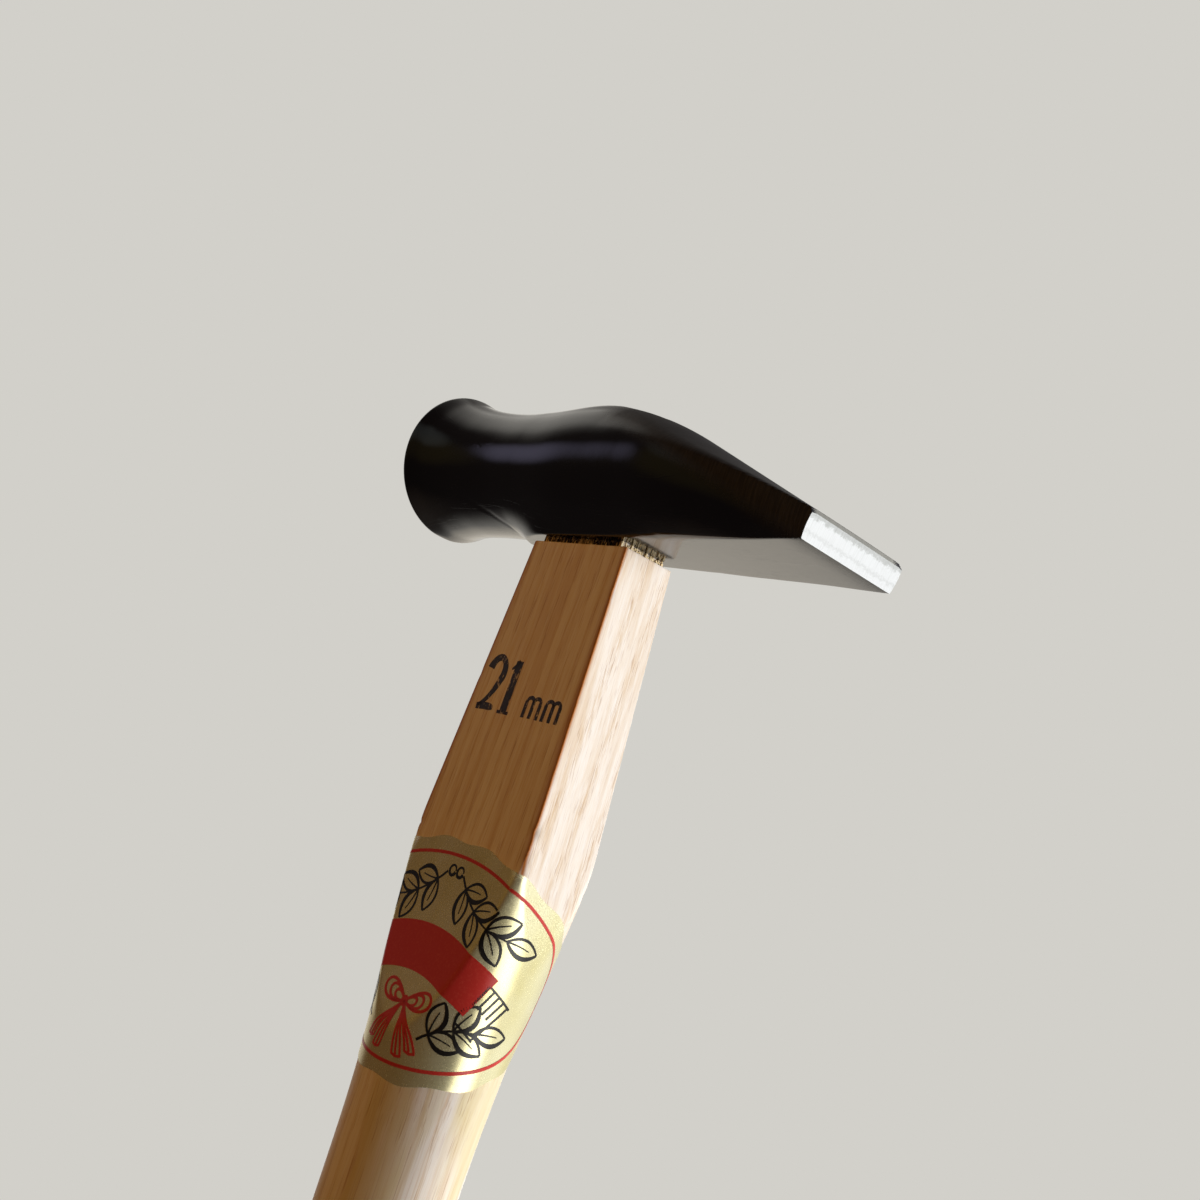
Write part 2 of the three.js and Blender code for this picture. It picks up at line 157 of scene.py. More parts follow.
def tube_faces(rows, columns):
    """Quads between the rows of a grid whose columns close on themselves."""
    i, j = np.meshgrid(np.arange(rows - 1) * columns, np.arange(columns), indexing="ij")
    k = (j + 1) % columns
    return np.stack([i + j, i + k, i + columns + k, i + columns + j], -1).reshape(-1, 4)


def closed_tube(grid, start=0):
    """Faces of a tube of rows of points, closed by a flat face at each end, from a first index."""
    rows, columns = grid.shape[:2]
    faces = (tube_faces(rows, columns) + start).tolist()
    faces.append(list(range(start, start + columns)))
    faces.append(list(range(start + (rows - 1) * columns, start + rows * columns)))
    return faces


def make_piece(name, points, faces, finishes, node, smooth, index=None, marks=None):
    """A piece from points in millimetres: faces point outwards, edges over an angle stay sharp."""
    mesh = bpy.data.meshes.new(name)
    mesh.from_pydata((np.asarray(points, float).reshape(-1, 3) * MM).tolist(), [], faces)
    for finish in finishes:
        mesh.materials.append(finish)
    if index is not None:
        mesh.polygons.foreach_set("material_index", np.asarray(index, np.int32))
    if marks is not None:
        layer = mesh.attributes.new("marks", "FLOAT", "POINT")
        layer.data.foreach_set("value", np.asarray(marks, np.float32).ravel())
    shape = bmesh.new()
    shape.from_mesh(mesh)
    bmesh.ops.recalc_face_normals(shape, faces=shape.faces)
    shape.to_mesh(mesh)
    shape.free()
    mesh.shade_smooth()
    mesh.set_sharp_from_angle(angle=np.radians(smooth))
    piece = bpy.data.objects.new(name, mesh)
    bpy.context.scene.collection.objects.link(piece)
    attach(piece, "root")
    if node:
        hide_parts(node)
    return piece


# Finishes

GROWTH_RING = 1.7
OAK_HEART = (0.061, 0.037, 0)
RING_STRETCH = (1, 1, 0.012)


def add(tree, kind, inputs=(), **settings):
    """Adds a shader node with its settings, and the values or links of its inputs, which are named,
    numbered or in a list from the first on. A node that is given as an input stands for its first
    output in use. A mix has its share at 0 and its two colours at 6 and 7."""
    made = tree.nodes.new("ShaderNode" + kind)
    for name, value in settings.items():
        setattr(made, name, value)
    for key, value in inputs.items() if isinstance(inputs, dict) else enumerate(inputs):
        if isinstance(value, Node):
            value = next(output for output in value.outputs if output.enabled)
        if isinstance(value, NodeSocket):
            tree.links.new(value, made.inputs[key])
        else:
            made.inputs[key].default_value = value
    return made


def new_finish(name):
    """An empty node material, its tree and its place coordinates in metres."""
    finish = bpy.data.materials.new(name)
    finish.use_nodes = True
    tree = finish.node_tree
    tree.nodes.clear()
    return finish, tree, add(tree, "TexCoord").outputs["Object"]


def finish_of(pattern, *given):
    """A material named after its pattern, whose surface takes the inputs that the pattern gives."""
    finish, tree, place = new_finish(pattern.__name__)
    shader = add(tree, "BsdfPrincipled", pattern(tree, place, *given))
    add(tree, "OutputMaterial", {"Surface": shader})
    return finish


def grains(x, y, z):
    """The scale at which a pattern's grains are that many millimetres long along X, Y and Z."""
    return (1 / (x * MM), 1 / (y * MM), 1 / (z * MM))


def black_lacquer_over_forged_steel(tree, place, s):
    """Black lacquer over a forged and ground surface: deep black with a soft gloss, slightly uneven
    over a few millimetres. On the ground slope the coat is thin and duller, and shows the wheel's
    marks."""
    ground = add(tree, "Attribute", attribute_name="marks").outputs["Fac"]
    uneven = add(tree, "TexNoise", {"Vector": place, "Scale": 1 / (4 * MM), "Detail": 3.0})
    grit = add(tree, "TexNoise", {"Vector": place, "Scale": 1 / (0.3 * MM)})
    drawn = add(tree, "Mapping", {"Vector": place, "Scale": grains(0.22, 5, 2.5)})
    strokes = add(tree, "TexNoise", {"Vector": drawn, "Scale": 1.0, "Roughness": 0.6})
    lines = add(tree, "MapRange", [strokes, 0.4, 0.7, 0.5, 1.0])
    thin = add(tree, "Math", [lines, ground], operation="MULTIPLY")
    coat = add(tree, "Mix", {0: thin, 6: s.lacquer, 7: s.worn_lacquer}, data_type="RGBA")
    soft = add(tree, "MapRange", [grit, 0.3, 0.75, s.gloss, s.gloss + 0.05])
    rough = add(tree, "Math", [ground, 0.3, soft], operation="MULTIPLY_ADD")
    shine = add(tree, "MapRange", [ground, 0.0, 1.0, 0.5, 0.07])
    bump = add(tree, "Bump", {"Strength": 0.2, "Distance": 0.06 * MM, "Height": uneven})
    fine = add(tree, "Bump", {
        "Strength": 0.15, "Distance": 0.005 * MM, "Height": grit, "Normal": bump,
    })
    wheel = add(tree, "Bump", {
        "Strength": 0.5, "Distance": 0.03 * MM, "Height": thin, "Normal": fine,
    })
    bent = add(tree, "Mapping", {"Vector": place, "Scale": grains(7, 0.3, 7)})
    scratches = add(tree, "TexNoise", {"Vector": bent, "Scale": 1.0, "Distortion": 1.2})
    raised = add(tree, "MapRange", [scratches, 0.64, 0.7, 0.0, 1.0])
    scuffed = add(tree, "Bump", {
        "Strength": 0.3, "Distance": 0.02 * MM, "Height": raised, "Normal": wheel,
    })
    return {"Base Color": coat, "Roughness": rough, "Specular IOR Level": shine, "Normal": scuffed}


def ground_carbon_steel(tree, place, s):
    """Carbon steel ground on a wheel: bright and slightly blurred, with fine short strokes, a
    mottled band of painted shade along the broken edge under the slope, over the grinding's own
    mottle, and a faint streak along the lower third."""
    drawn = add(tree, "Mapping", {"Vector": place, "Scale": grains(2, 0.13, 2.2)})
    strokes = add(tree, "TexNoise", {"Vector": drawn, "Scale": 1.0, "Roughness": 0.6})
    grown = add(tree, "Mapping", {"Vector": place, "Scale": grains(0.5, 0.45, 0.35)})
    mottle = add(tree, "TexNoise", {
        "Vector": grown, "Scale": 1.0, "Detail": 3.0, "Roughness": 0.65,
    })
    height = add(tree, "SeparateXYZ", [place]).outputs["Z"]
    wavy = add(tree, "Math", [mottle, 1.4 * MM, height], operation="MULTIPLY_ADD")
    share = add(tree, "MapRange", [strokes, 0.45, 0.75, 0.0, 0.22])
    # Each step starts over one height above the belly and reaches its depth over the next.
    # The first, along the broken top edge, is painted shade.
    for low, high, depth in ((2.9, 3.3, 0.6), (1.3, 1.6, 0.25), (1.6, 2.0, -0.25)):
        edge = add(tree, "MapRange", [
            wavy, BELLY + low * MM, BELLY + high * MM, 0.0, depth,
        ], interpolation_type="SMOOTHSTEP")
        share = add(tree, "Math", [share, edge], operation="ADD")
    colour = add(tree, "Mix", {0: share, 6: s.steel, 7: s.steel_shade}, data_type="RGBA")
    rough = add(tree, "MapRange", [strokes, 0.3, 0.7, 0.28, 0.42])
    bump = add(tree, "Bump", {"Strength": 0.3, "Distance": 0.01 * MM, "Height": strokes})
    return {"Base Color": colour, "Metallic": 1.0, "Roughness": rough, "Normal": bump}


def oak_rings(tree, place):
    """The oak's growth rings, drawn out along the handle: nought on pale wood and one on tan."""
    turned = add(tree, "Mapping", {"Vector": place, "Location": OAK_HEART, "Scale": RING_STRETCH})
    return add(tree, "TexWave", {
        "Vector": turned, "Scale": np.pi / 10 / (GROWTH_RING * MM), "Distortion": 1.6,
        "Detail": 2.0, "Detail Scale": 0.3, "Detail Roughness": 0.5,
    }, wave_type="RINGS", rings_direction="Z", wave_profile="SIN").outputs["Fac"]


def oak_pattern(tree, place, s):
    """Planed white oak: growth rings cut lengthwise into pale and tan bands, fine straight fibres,
    long yellow stains in the grip, and rows of short dark pores. Gives colour, roughness and
    relief."""
    rings = oak_rings(tree, place)
    thread = add(tree, "Mapping", {"Vector": place, "Scale": grains(0.16, 0.16, 40)})
    fibres = add(tree, "TexNoise", {
        "Vector": thread, "Scale": 1.0, "Detail": 3.0, "Roughness": 0.7,
    })
    broad = add(tree, "Mapping", {"Vector": place, "Scale": grains(1.3, 1.3, 90)})
    tone = add(tree, "TexNoise", {"Vector": broad, "Scale": 1.0})
    short = add(tree, "Mapping", {"Vector": place, "Scale": grains(0.15, 0.15, 8)})
    pores = add(tree, "TexNoise", {"Vector": short, "Scale": 1.0, "Detail": 1.0})
    early = add(tree, "MapRange", [rings, 0.5, 1.0, 0.0, 0.6])
    banded = add(tree, "Mix", {0: early, 6: s.early_wood, 7: s.late_wood}, data_type="RGBA")
    fine = add(tree, "MapRange", [fibres, 0.38, 0.62, 0.1, 0.9])
    streaked = add(tree, "Mix", {0: fine, 6: banded, 7: s.fibre}, data_type="RGBA")
    aged = add(tree, "MapRange", [tone, 0.44, 0.66, 0.0, 0.42])
    warm = add(tree, "Mix", {0: aged, 6: streaked, 7: s.late_wood}, data_type="RGBA")
    long = add(tree, "Mapping", {"Vector": place, "Scale": grains(4, 4, 25)})
    patches = add(tree, "TexNoise", {"Vector": long, "Scale": 1.0})
    height = add(tree, "SeparateXYZ", [place]).outputs["Z"]
    reach = add(tree, "MapRange", [height, 216 * MM, 236 * MM, 0.6, 0.0])
    stained = add(tree, "MapRange", [patches, 0.42, 0.58, 0.0, reach])
    tinted = add(tree, "Mix", {0: stained, 6: warm, 7: s.yellow_stain}, data_type="RGBA")
    dashes = add(tree, "MapRange", [pores, 0.59, 0.67, 0.0, 1.0])
    row = add(tree, "MapRange", [rings, 0.3, 0.9, 0.2, 0.5])
    dark = add(tree, "Math", [dashes, row], operation="MULTIPLY")
    colour = add(tree, "Mix", {0: dark, 6: tinted, 7: s.pore}, data_type="RGBA")
    rough = add(tree, "MapRange", [fibres, 0.3, 0.7, 0.36, 0.5])
    relief = add(tree, "Math", [dark, -1.0, fibres], operation="MULTIPLY_ADD")
    return colour, rough, relief


def planed_white_oak(tree, place, s):
    """Planed and lightly oiled white oak: pale with a low sheen and open pores that run up the
    handle. Painted shade darkens the near arrises to an orange-brown line where they turn
    from the light."""
    colour, rough, height = oak_pattern(tree, place, s)
    bump = add(tree, "Bump", {"Strength": 0.35, "Distance": 0.04 * MM, "Height": height})
    # Painted shade: the orange-brown line along the near arrises, as the mesh's marks give it
    arris_shaded = add(tree, "Attribute", attribute_name="marks").outputs["Fac"]
    arris_shaded_colour = add(tree, "Mix", {0: arris_shaded, 6: colour, 7: s.arris_shade}, data_type="RGBA")
    return {"Base Color": arris_shaded_colour, "Roughness": rough, "Normal": bump}


def sawn_oak_end_grain(tree, place, s):
    """Oak sawn across: darker than the sides, with ring bands and a dense dotting of open pores."""
    rings = oak_rings(tree, place)
    dots = add(tree, "TexNoise", {"Vector": place, "Scale": 1 / (0.22 * MM), "Detail": 1.0})
    holes = add(tree, "MapRange", [dots, 0.55, 0.66, 0.0, 0.8])
    banded = add(tree, "Mix", {0: rings, 6: s.late_wood, 7: s.fibre}, data_type="RGBA")
    colour = add(tree, "Mix", {0: holes, 6: banded, 7: s.pore}, data_type="RGBA")
    bump = add(tree, "Bump", {"Strength": 0.5, "Distance": 0.08 * MM, "Height": dots})
    return {"Base Color": colour, "Roughness": 0.75, "Normal": bump}


def crushed_oak_fibres(tree, place, s):
    """Oak fibres crushed where the head was driven on: matt and mottled from cream to near black.
    The near black is partly stain and partly painted shade under the head, and the end where the
    light falls is painted paler as painted light."""
    tall = add(tree, "Mapping", {"Vector": place, "Scale": grains(0.25, 0.25, 0.6)})
    mottle = add(tree, "TexNoise", {"Vector": tall, "Scale": 1.0})
    stain = add(tree, "TexNoise", {"Vector": place, "Scale": 1 / (2.2 * MM)})
    # Painted light: past 6.6 mm along X the fibres on the lit end turn paler, and elsewhere a little
    # darker
    across = add(tree, "SeparateXYZ", [place]).outputs["X"]
    lit_end = add(tree, "MapRange", [across, 6.6 * MM, 7.3 * MM, -0.06, 0.2])
    mixed = add(tree, "Math", [mottle, stain], operation="ADD")
    both = add(tree, "Math", [mixed, lit_end], operation="ADD")
    pale_share = add(tree, "MapRange", [both, 0.82, 1.12, 0.0, 1.0])
    colour = add(tree, "Mix", {0: pale_share, 6: s.fringe_stain_and_shade, 7: s.crushed}, data_type="RGBA")
    bump = add(tree, "Bump", {"Strength": 0.6, "Distance": 0.05 * MM, "Height": mottle})
    return {"Base Color": colour, "Roughness": 0.8, "Normal": bump}


def sheared_mild_steel(tree, place, s):
    """Mild steel sheared and hammered in: dull grey, with file marks along it and small bruises."""
    filed = add(tree, "Mapping", {"Vector": place, "Scale": grains(3, 0.15, 2)})
    lines = add(tree, "TexNoise", {"Vector": filed, "Scale": 1.0, "Roughness": 0.6})
    bruises = add(tree, "TexNoise", {"Vector": place, "Scale": 1 / (0.9 * MM), "Detail": 1.0})
    share = add(tree, "MapRange", [bruises, 0.4, 0.65, 0.0, 1.0])
    colour = add(tree, "Mix", {0: share, 6: s.wedge_steel, 7: s.wedge_shade}, data_type="RGBA")
    rough = add(tree, "MapRange", [lines, 0.3, 0.7, 0.35, 0.55])
    bump = add(tree, "Bump", {"Strength": 0.5, "Distance": 0.04 * MM, "Height": bruises})
    return {"Base Color": colour, "Metallic": 1.0, "Roughness": rough, "Normal": bump}


def gold_foil_paper(tree, place, s):
    """Gold foil on thin paper: a pale yellow metallic gloss with soft shallow wrinkles."""
    pulled = add(tree, "Mapping", {"Vector": place, "Scale": grains(5, 5, 8)})
    wrinkles = add(tree, "TexNoise", {"Vector": pulled, "Scale": 1.0})
    tooth = add(tree, "TexNoise", {"Vector": place, "Scale": 1 / (0.35 * MM)})
    share = add(tree, "MapRange", [wrinkles, 0.35, 0.7, 0.0, 1.0])
    colour = add(tree, "Mix", {0: share, 6: s.foil, 7: s.foil_shade}, data_type="RGBA")
    rough = add(tree, "MapRange", [tooth, 0.3, 0.7, 0.25, 0.28])
    bump = add(tree, "Bump", {"Strength": 0.3, "Distance": 0.3 * MM, "Height": wrinkles})
    return {"Base Color": colour, "Metallic": 0.6, "Roughness": rough, "Normal": bump}


def gloss_ink(tree, place, ink, thin):
    """Gloss ink on foil: even in colour, a little thinner in specks, as shiny as the foil."""
    specks = add(tree, "TexNoise", {"Vector": place, "Scale": 1 / (0.3 * MM)})
    share = add(tree, "MapRange", [specks, 0.5, 0.75, 0.0, 0.5])
    colour = add(tree, "Mix", {0: share, 6: ink, 7: thin}, data_type="RGBA")
    bump = add(tree, "Bump", {"Strength": 0.1, "Distance": 0.01 * MM, "Height": specks})
    return {"Base Color": colour, "Roughness": 0.3, "Normal": bump}


def red_gloss_ink(tree, place, s):
    """The label's red: opaque and warm, with orange where it is thin."""
    return gloss_ink(tree, place, s.red, s.red_thin)


def black_gloss_ink(tree, place, s):
    """The label's black: dense, with a trace of brown where it is thin."""
    return gloss_ink(tree, place, s.black, s.black_thin)


def stamping_ink_on_oak(tree, place, s, wood):
    """Stamping ink on planed oak: black and matt where the stamp touched, broken where the pores
    and the fibres stayed bare."""
    colour, rough, height = oak_pattern(tree, place, wood)
    pressed = add(tree, "Mapping", {"Vector": place, "Scale": grains(0.35, 0.35, 0.9)})
    patches = add(tree, "TexNoise", {
        "Vector": pressed, "Scale": 1.0, "Detail": 3.0, "Roughness": 0.65,
    })
    cover = add(tree, "MapRange", [patches, 0.33, 0.42, 0.25, 0.98])
    inked = add(tree, "Mix", {0: cover, 6: colour, 7: s.ink}, data_type="RGBA")
    bump = add(tree, "Bump", {"Strength": 0.35, "Distance": 0.04 * MM, "Height": height})
    return {"Base Color": inked, "Roughness": rough, "Normal": bump}


# Head

def slope_top(x):
    """Height of the crest and the slope along the middle: the lower of the two, rounded where they
    meet, and cut down by the broken edge at the peen's end."""
    slope = PEEN_THICKNESS + (PEEN - x) * SLOPE
    broken = PEEN_THICKNESS - PEEN_BREAK + (PEEN - x) * (1 + SLOPE)
    crest = CREST + np.maximum(CREST_RISES_FROM - x, 0)
    return soft_min(soft_min(slope, crest, CREST_BLEND), broken, 0.06)


def crest_share(x):
    """Nought at the peen's end, growing evenly up the slope to one from the crest's corner on."""
    return np.clip((PEEN - x) / (PEEN - CREST_CORNER), 0, 1)


def crown_drop(x):
    """How much the crest falls to the sides, per square millimetre; it fades out down the slope."""
    return crest_share(x) / (2 * CROWN_RADIUS)


def neck_line_depth(x, turn, radius):
    """A shallow groove along the neck's line, deepest on it and gone half a millimetre away."""
    across = np.abs(np.degrees(turn))
    gap = np.full(x.shape, FAR)
    for (x0, a0), (x1, a1) in zip(NECK_LINE[:-1], NECK_LINE[1:]):
        along = np.array([x1 - x0, np.radians(a1 - a0) * NECK_RADIUS])
        offset = np.stack([x - x0, np.radians(across - a0) * radius], -1)
        t = np.clip(offset @ along / (along @ along), 0, 1)
        gap = np.minimum(gap, np.linalg.norm(offset - t[..., None] * along, axis=-1))
    fade = np.clip((NECK_LINE_STARTS - x) / 3, 0, 1) * np.clip((x - NECK_LINE[-1, 0]) / 4, 0, 1)
    return NECK_LINE_DEPTH * fade * np.exp(-((gap / NECK_LINE_WIDTH) ** 2))


def smoothstep(x, start, end):
    """Nought before the start, one after the end, and a smooth rise between them."""
    t = np.clip((x - start) / (end - start), 0, 1)
    return t**2 * (3 - 2 * t)


def belly_half(x):
    """Half the belly's width beside the eye, where straight flanks come down to its edges: it grows
    evenly up to the head's widest place."""
    return BELLY_HALF_AT_EYE + BELLY_WIDENING * np.minimum(x, WIDEST)


def head_section(x, turn, s):
    """Distance from the head's axis to its skin at an angle from straight down: the least of the
    round section, the flat belly and the crowned top, with rounded shoulders and an eased belly
    edge. Beside the eye a straight flank leaves the round on a tangent and comes down to the
    belly's edge."""
    radius, middle = through(x, HEAD_RINGS), through(x, HEAD_RINGS, 2)
    to_edge = np.hypot(belly_half(x), middle)
    tangent = np.arctan2(belly_half(x), middle) + np.arccos(np.minimum(radius / to_edge, 1))
    short = np.clip(tangent - np.abs(turn), 0, 1.2)
    share = smoothstep(x, -FLANK_START, -EYE_LENGTH / 2) * (to_edge > radius)
    radius = radius * (1 + share * (1 / np.cos(short) - 1))
    up = -np.cos(turn)
    rise = slope_top(x) - middle
    drop = crown_drop(x)
    top = 2 * rise / (up + np.sqrt(up**2 + 4 * drop * np.sin(turn) ** 2 * rise) + 1e-9)
    shoulder = s.peen_shoulder / MM + (s.crest_shoulder - s.peen_shoulder) / MM * crest_share(x)
    skin = soft_min(radius, top, shoulder * np.sin(turn) ** 2 + 1e-6)
    below = np.where(up < -0.02, middle / np.maximum(-up, 0.02), FAR)
    # The front edge of the belly is filed a little more between the eye and the peen
    filed = smoothstep(x, 6, 15) * (1 - smoothstep(x, 17, 35)) * (np.sin(turn) < 0)
    skin = soft_min(skin, below, s.belly_edge / MM * (1 + 1.3 * filed))
    return skin - neck_line_depth(x, turn, radius), middle, rise


def head_grid(s):
    """Rows along X and columns round the axis. The columns crowd at the belly's edge, and the last
    rows lean with the peen's end."""
    face = FACE_END / MM
    swing = np.linspace(0, np.pi / 2, 7)[:-1]
    body = np.concatenate([
        np.linspace(face + FACE_BREAK, PEEN - 3, 290),
        PEEN - np.array([2.5, 2, 1.6, 1.3, 1.05, 0.85, 0.7, 0.6, 0.5, 0.4, 0.3, 0.2, 0.1, 0]),
    ])
    x = np.concatenate([face + FACE_BREAK * (1 - np.cos(swing)), body])
    inset = np.concatenate([FACE_BREAK * (1 - np.sin(swing)), np.zeros(len(body))])
    radius, middle = through(x, HEAD_RINGS), through(x, HEAD_RINGS, 2)
    flank = belly_half(x) * smoothstep(x, -FLANK_START, -EYE_LENGTH / 2)
    round_half = np.sqrt(np.maximum(radius**2 - middle**2, 0))
    corner = np.arctan2(np.maximum(np.maximum(flank, round_half), 0.14 * middle), middle)
    belly_shares = np.array([0, 0.12, 0.25, 0.4, 0.55, 0.68, 0.8, 0.88, 0.93, 0.96, 0.98, 0.992])
    by_edge = [0, 0.0025, 0.006, 0.01, 0.016, 0.025, 0.037]
    round_shares = np.concatenate([by_edge, np.linspace(0.05, 1, 62)])
    on_belly = np.arctan(np.tan(corner)[:, None] * belly_shares)
    on_round = corner[:, None] + (np.pi - corner)[:, None] * round_shares
    half = np.concatenate([on_belly, on_round], 1)
    turn = np.concatenate([half, -half[:, -2:0:-1]], 1)
    place = np.repeat(x[:, None], turn.shape[1], 1)
    lean_from = PEEN - LEAN_LENGTH
    for _ in range(4):
        skin, height, rise = head_section(place, turn, s)
        skin = skin - inset[:, None]
        z = height - skin * np.cos(turn)
        end = PEEN + PEEN_LEAN * (z - PEEN_THICKNESS)
        share = np.clip((x[:, None] - lean_from) / (PEEN - lean_from), 0, 1)
        place = np.repeat(x[:, None], turn.shape[1], 1) + (end - PEEN) * share**3
    place = np.minimum(place, PEEN_REACH / MM)
    grid = np.stack([place, skin * np.sin(turn), z], -1)
    return grid, rise - (z - height)


def open_eye(piece):
    """Cuts the straight rectangular eye through the head, and keeps the cut in the mesh."""
    low = Vector((-EYE_LENGTH / 2, -EYE_WIDTH / 2, -5)) * MM + Vector((0, 0, BELLY))
    high = Vector((EYE_LENGTH / 2, EYE_WIDTH / 2, CREST + 5)) * MM + Vector((0, 0, BELLY))
    place = Matrix.LocRotScale((low + high) / 2, None, high - low)
    shape = bmesh.new()
    bmesh.ops.create_cube(shape, size=1.0, matrix=place)
    block = bpy.data.meshes.new("eye_cutter")
    shape.to_mesh(block)
    shape.free()
    cutter = bpy.data.objects.new("eye_cutter", block)
    bpy.context.scene.collection.objects.link(cutter)
    cut = piece.modifiers.new("eye", "BOOLEAN")
    cut.operation = "DIFFERENCE"
    cut.solver = "EXACT"
    cut.object = cutter
    bpy.context.view_layer.update()
    shown = piece.evaluated_get(bpy.context.evaluated_depsgraph_get())
    mesh = bpy.data.meshes.new_from_object(shown)
    piece.modifiers.clear()
    piece.data = mesh
    mesh.name = piece.name
    mesh.set_sharp_from_angle(angle=np.radians(32))
    bpy.data.objects.remove(cutter)


def make_head(s):
    """The head in one skin: the grid of its sections, closed at the face and at the peen's end. The
    face and the sloping end are bare steel, and the lacquer is thin and ground where a point lies
    near the slope."""
    grid, under_top = head_grid(s)
    rows, columns = grid.shape[:2]
    points = grid + np.array([0, 0, BELLY / MM])
    faces = closed_tube(points)
    bare = np.zeros(len(faces), int)
    bare[-2:] = 1
    last = np.arange(rows - 1)[:, None] >= rows - 6
    top = under_top[:-1] < BARE_UNDER_TOP
    side = np.abs(grid[:-1, :, 1]) < PEEN_BARE_HALF
    bare[:(rows - 1) * columns] = (last & top & side).ravel()
    # The grinding is full down to 2.9 mm under the slope and gone at 5.3 mm
    ground = np.clip((grid[..., 0] + 1) / 5, 0, 1) * np.clip(2.2 - under_top / 2.4, 0, 1)
    finishes = [finish_of(black_lacquer_over_forged_steel, s), finish_of(ground_carbon_steel, s)]
    open_eye(make_piece(
        "head_forged", points, faces, finishes, "head", 30, bare, ground))


# Handle

def end_flat(drop):
    """Half the distance between the flats that face along X, at a drop below the belly."""
    return END_FLAT + END_FLAT_GROWTH * drop


def side_flat(drop):
    """Half the distance between the wide flats: it grows evenly, then curves out into the grip."""
    t = (drop - FLATS_RUN_OUT) / RUN_OUT_LENGTH
    even = SIDE_FLAT + SIDE_FLAT_GROWTH * np.minimum(drop, FLATS_RUN_OUT)
    return np.where(t < 0, even, np.where(t < 1.6, even + t + 4 * t**2, FAR))


def handle_turns(z, s):
    """Angles of the columns round the handle at each height: a set on each flat, and one over each
    corner between them, which is an arris above and the oval's shoulder below."""
    drop = BELLY_MM - z
    half = through(z, GRIP)
    ease = s.arris / MM
    wide, thick = end_flat(drop), side_flat(drop)
    x1 = np.minimum(wide, half)
    y1 = np.minimum(thick - ease, GRIP_RATIO * np.sqrt(np.maximum(half**2 - x1**2, 0)))
    y2 = np.minimum(thick, GRIP_RATIO * half)
    x2 = np.minimum(wide - ease, np.sqrt(np.maximum(half**2 - (y2 / GRIP_RATIO) ** 2, 0)))
    first = np.maximum(np.arctan2(y1, x1), np.radians(8))
    last = np.minimum(np.arctan2(y2, x2), np.radians(82))
    crowd = np.linspace(0, 1, 14)[:-1] ** 1.7
    on_end = first[:, None] * np.linspace(0, 1, 14)[:-1] ** 0.6
    on_corner = first[:, None] + (last - first)[:, None] * np.linspace(0, 1, 21)[:-1]
    on_side = last[:, None] + (np.pi / 2 - last)[:, None] * crowd
    quarter = np.concatenate([on_end, on_corner, on_side], 1)
    right = np.full((len(z), 1), np.pi / 2)
    half_turn = np.concatenate([quarter, right, np.pi - quarter[:, :0:-1]], 1)
    return np.concatenate([half_turn, half_turn + np.pi], 1), (first + last) / 2


def handle_section(z, turn, s):
    """Distance from the handle's axis to its skin: the least of the oval and both pairs of flats,
    with rounded corners between them."""
    drop = BELLY_MM - z
    half = through(z, GRIP)
    blend = 1.2 * s.arris / MM
    across, back = np.abs(np.cos(turn)), np.abs(np.sin(turn))
    oval = half / np.sqrt(across**2 + (back / GRIP_RATIO) ** 2)
    ends = end_flat(drop) / np.maximum(across, 1e-3)
    sides = side_flat(drop) / np.maximum(back, 1e-3)
    return soft_min(soft_min(oval, ends, blend), sides, blend)


def knocks(z, turn, corner):
    """Small dents along the four arrises, each a rounded pit about a millimetre long."""
    random = np.random.default_rng(11)
    small = zip(
        random.uniform(236, 276, 13), random.integers(0, 4, 13), random.uniform(0.04, 0.16, 13),
        random.uniform(0.3, 0.9, 13),
    )
    sunk = np.zeros(turn.shape)
    for height, which, depth, length in (LARGE_KNOCK, *small):
        centre = [corner, np.pi - corner, np.pi + corner, 2 * np.pi - corner][which]
        gap = np.hypot((z - height) / length, (turn - centre) / KNOCK_TURN)
        sunk += depth * np.exp(-(gap**2))
    return sunk


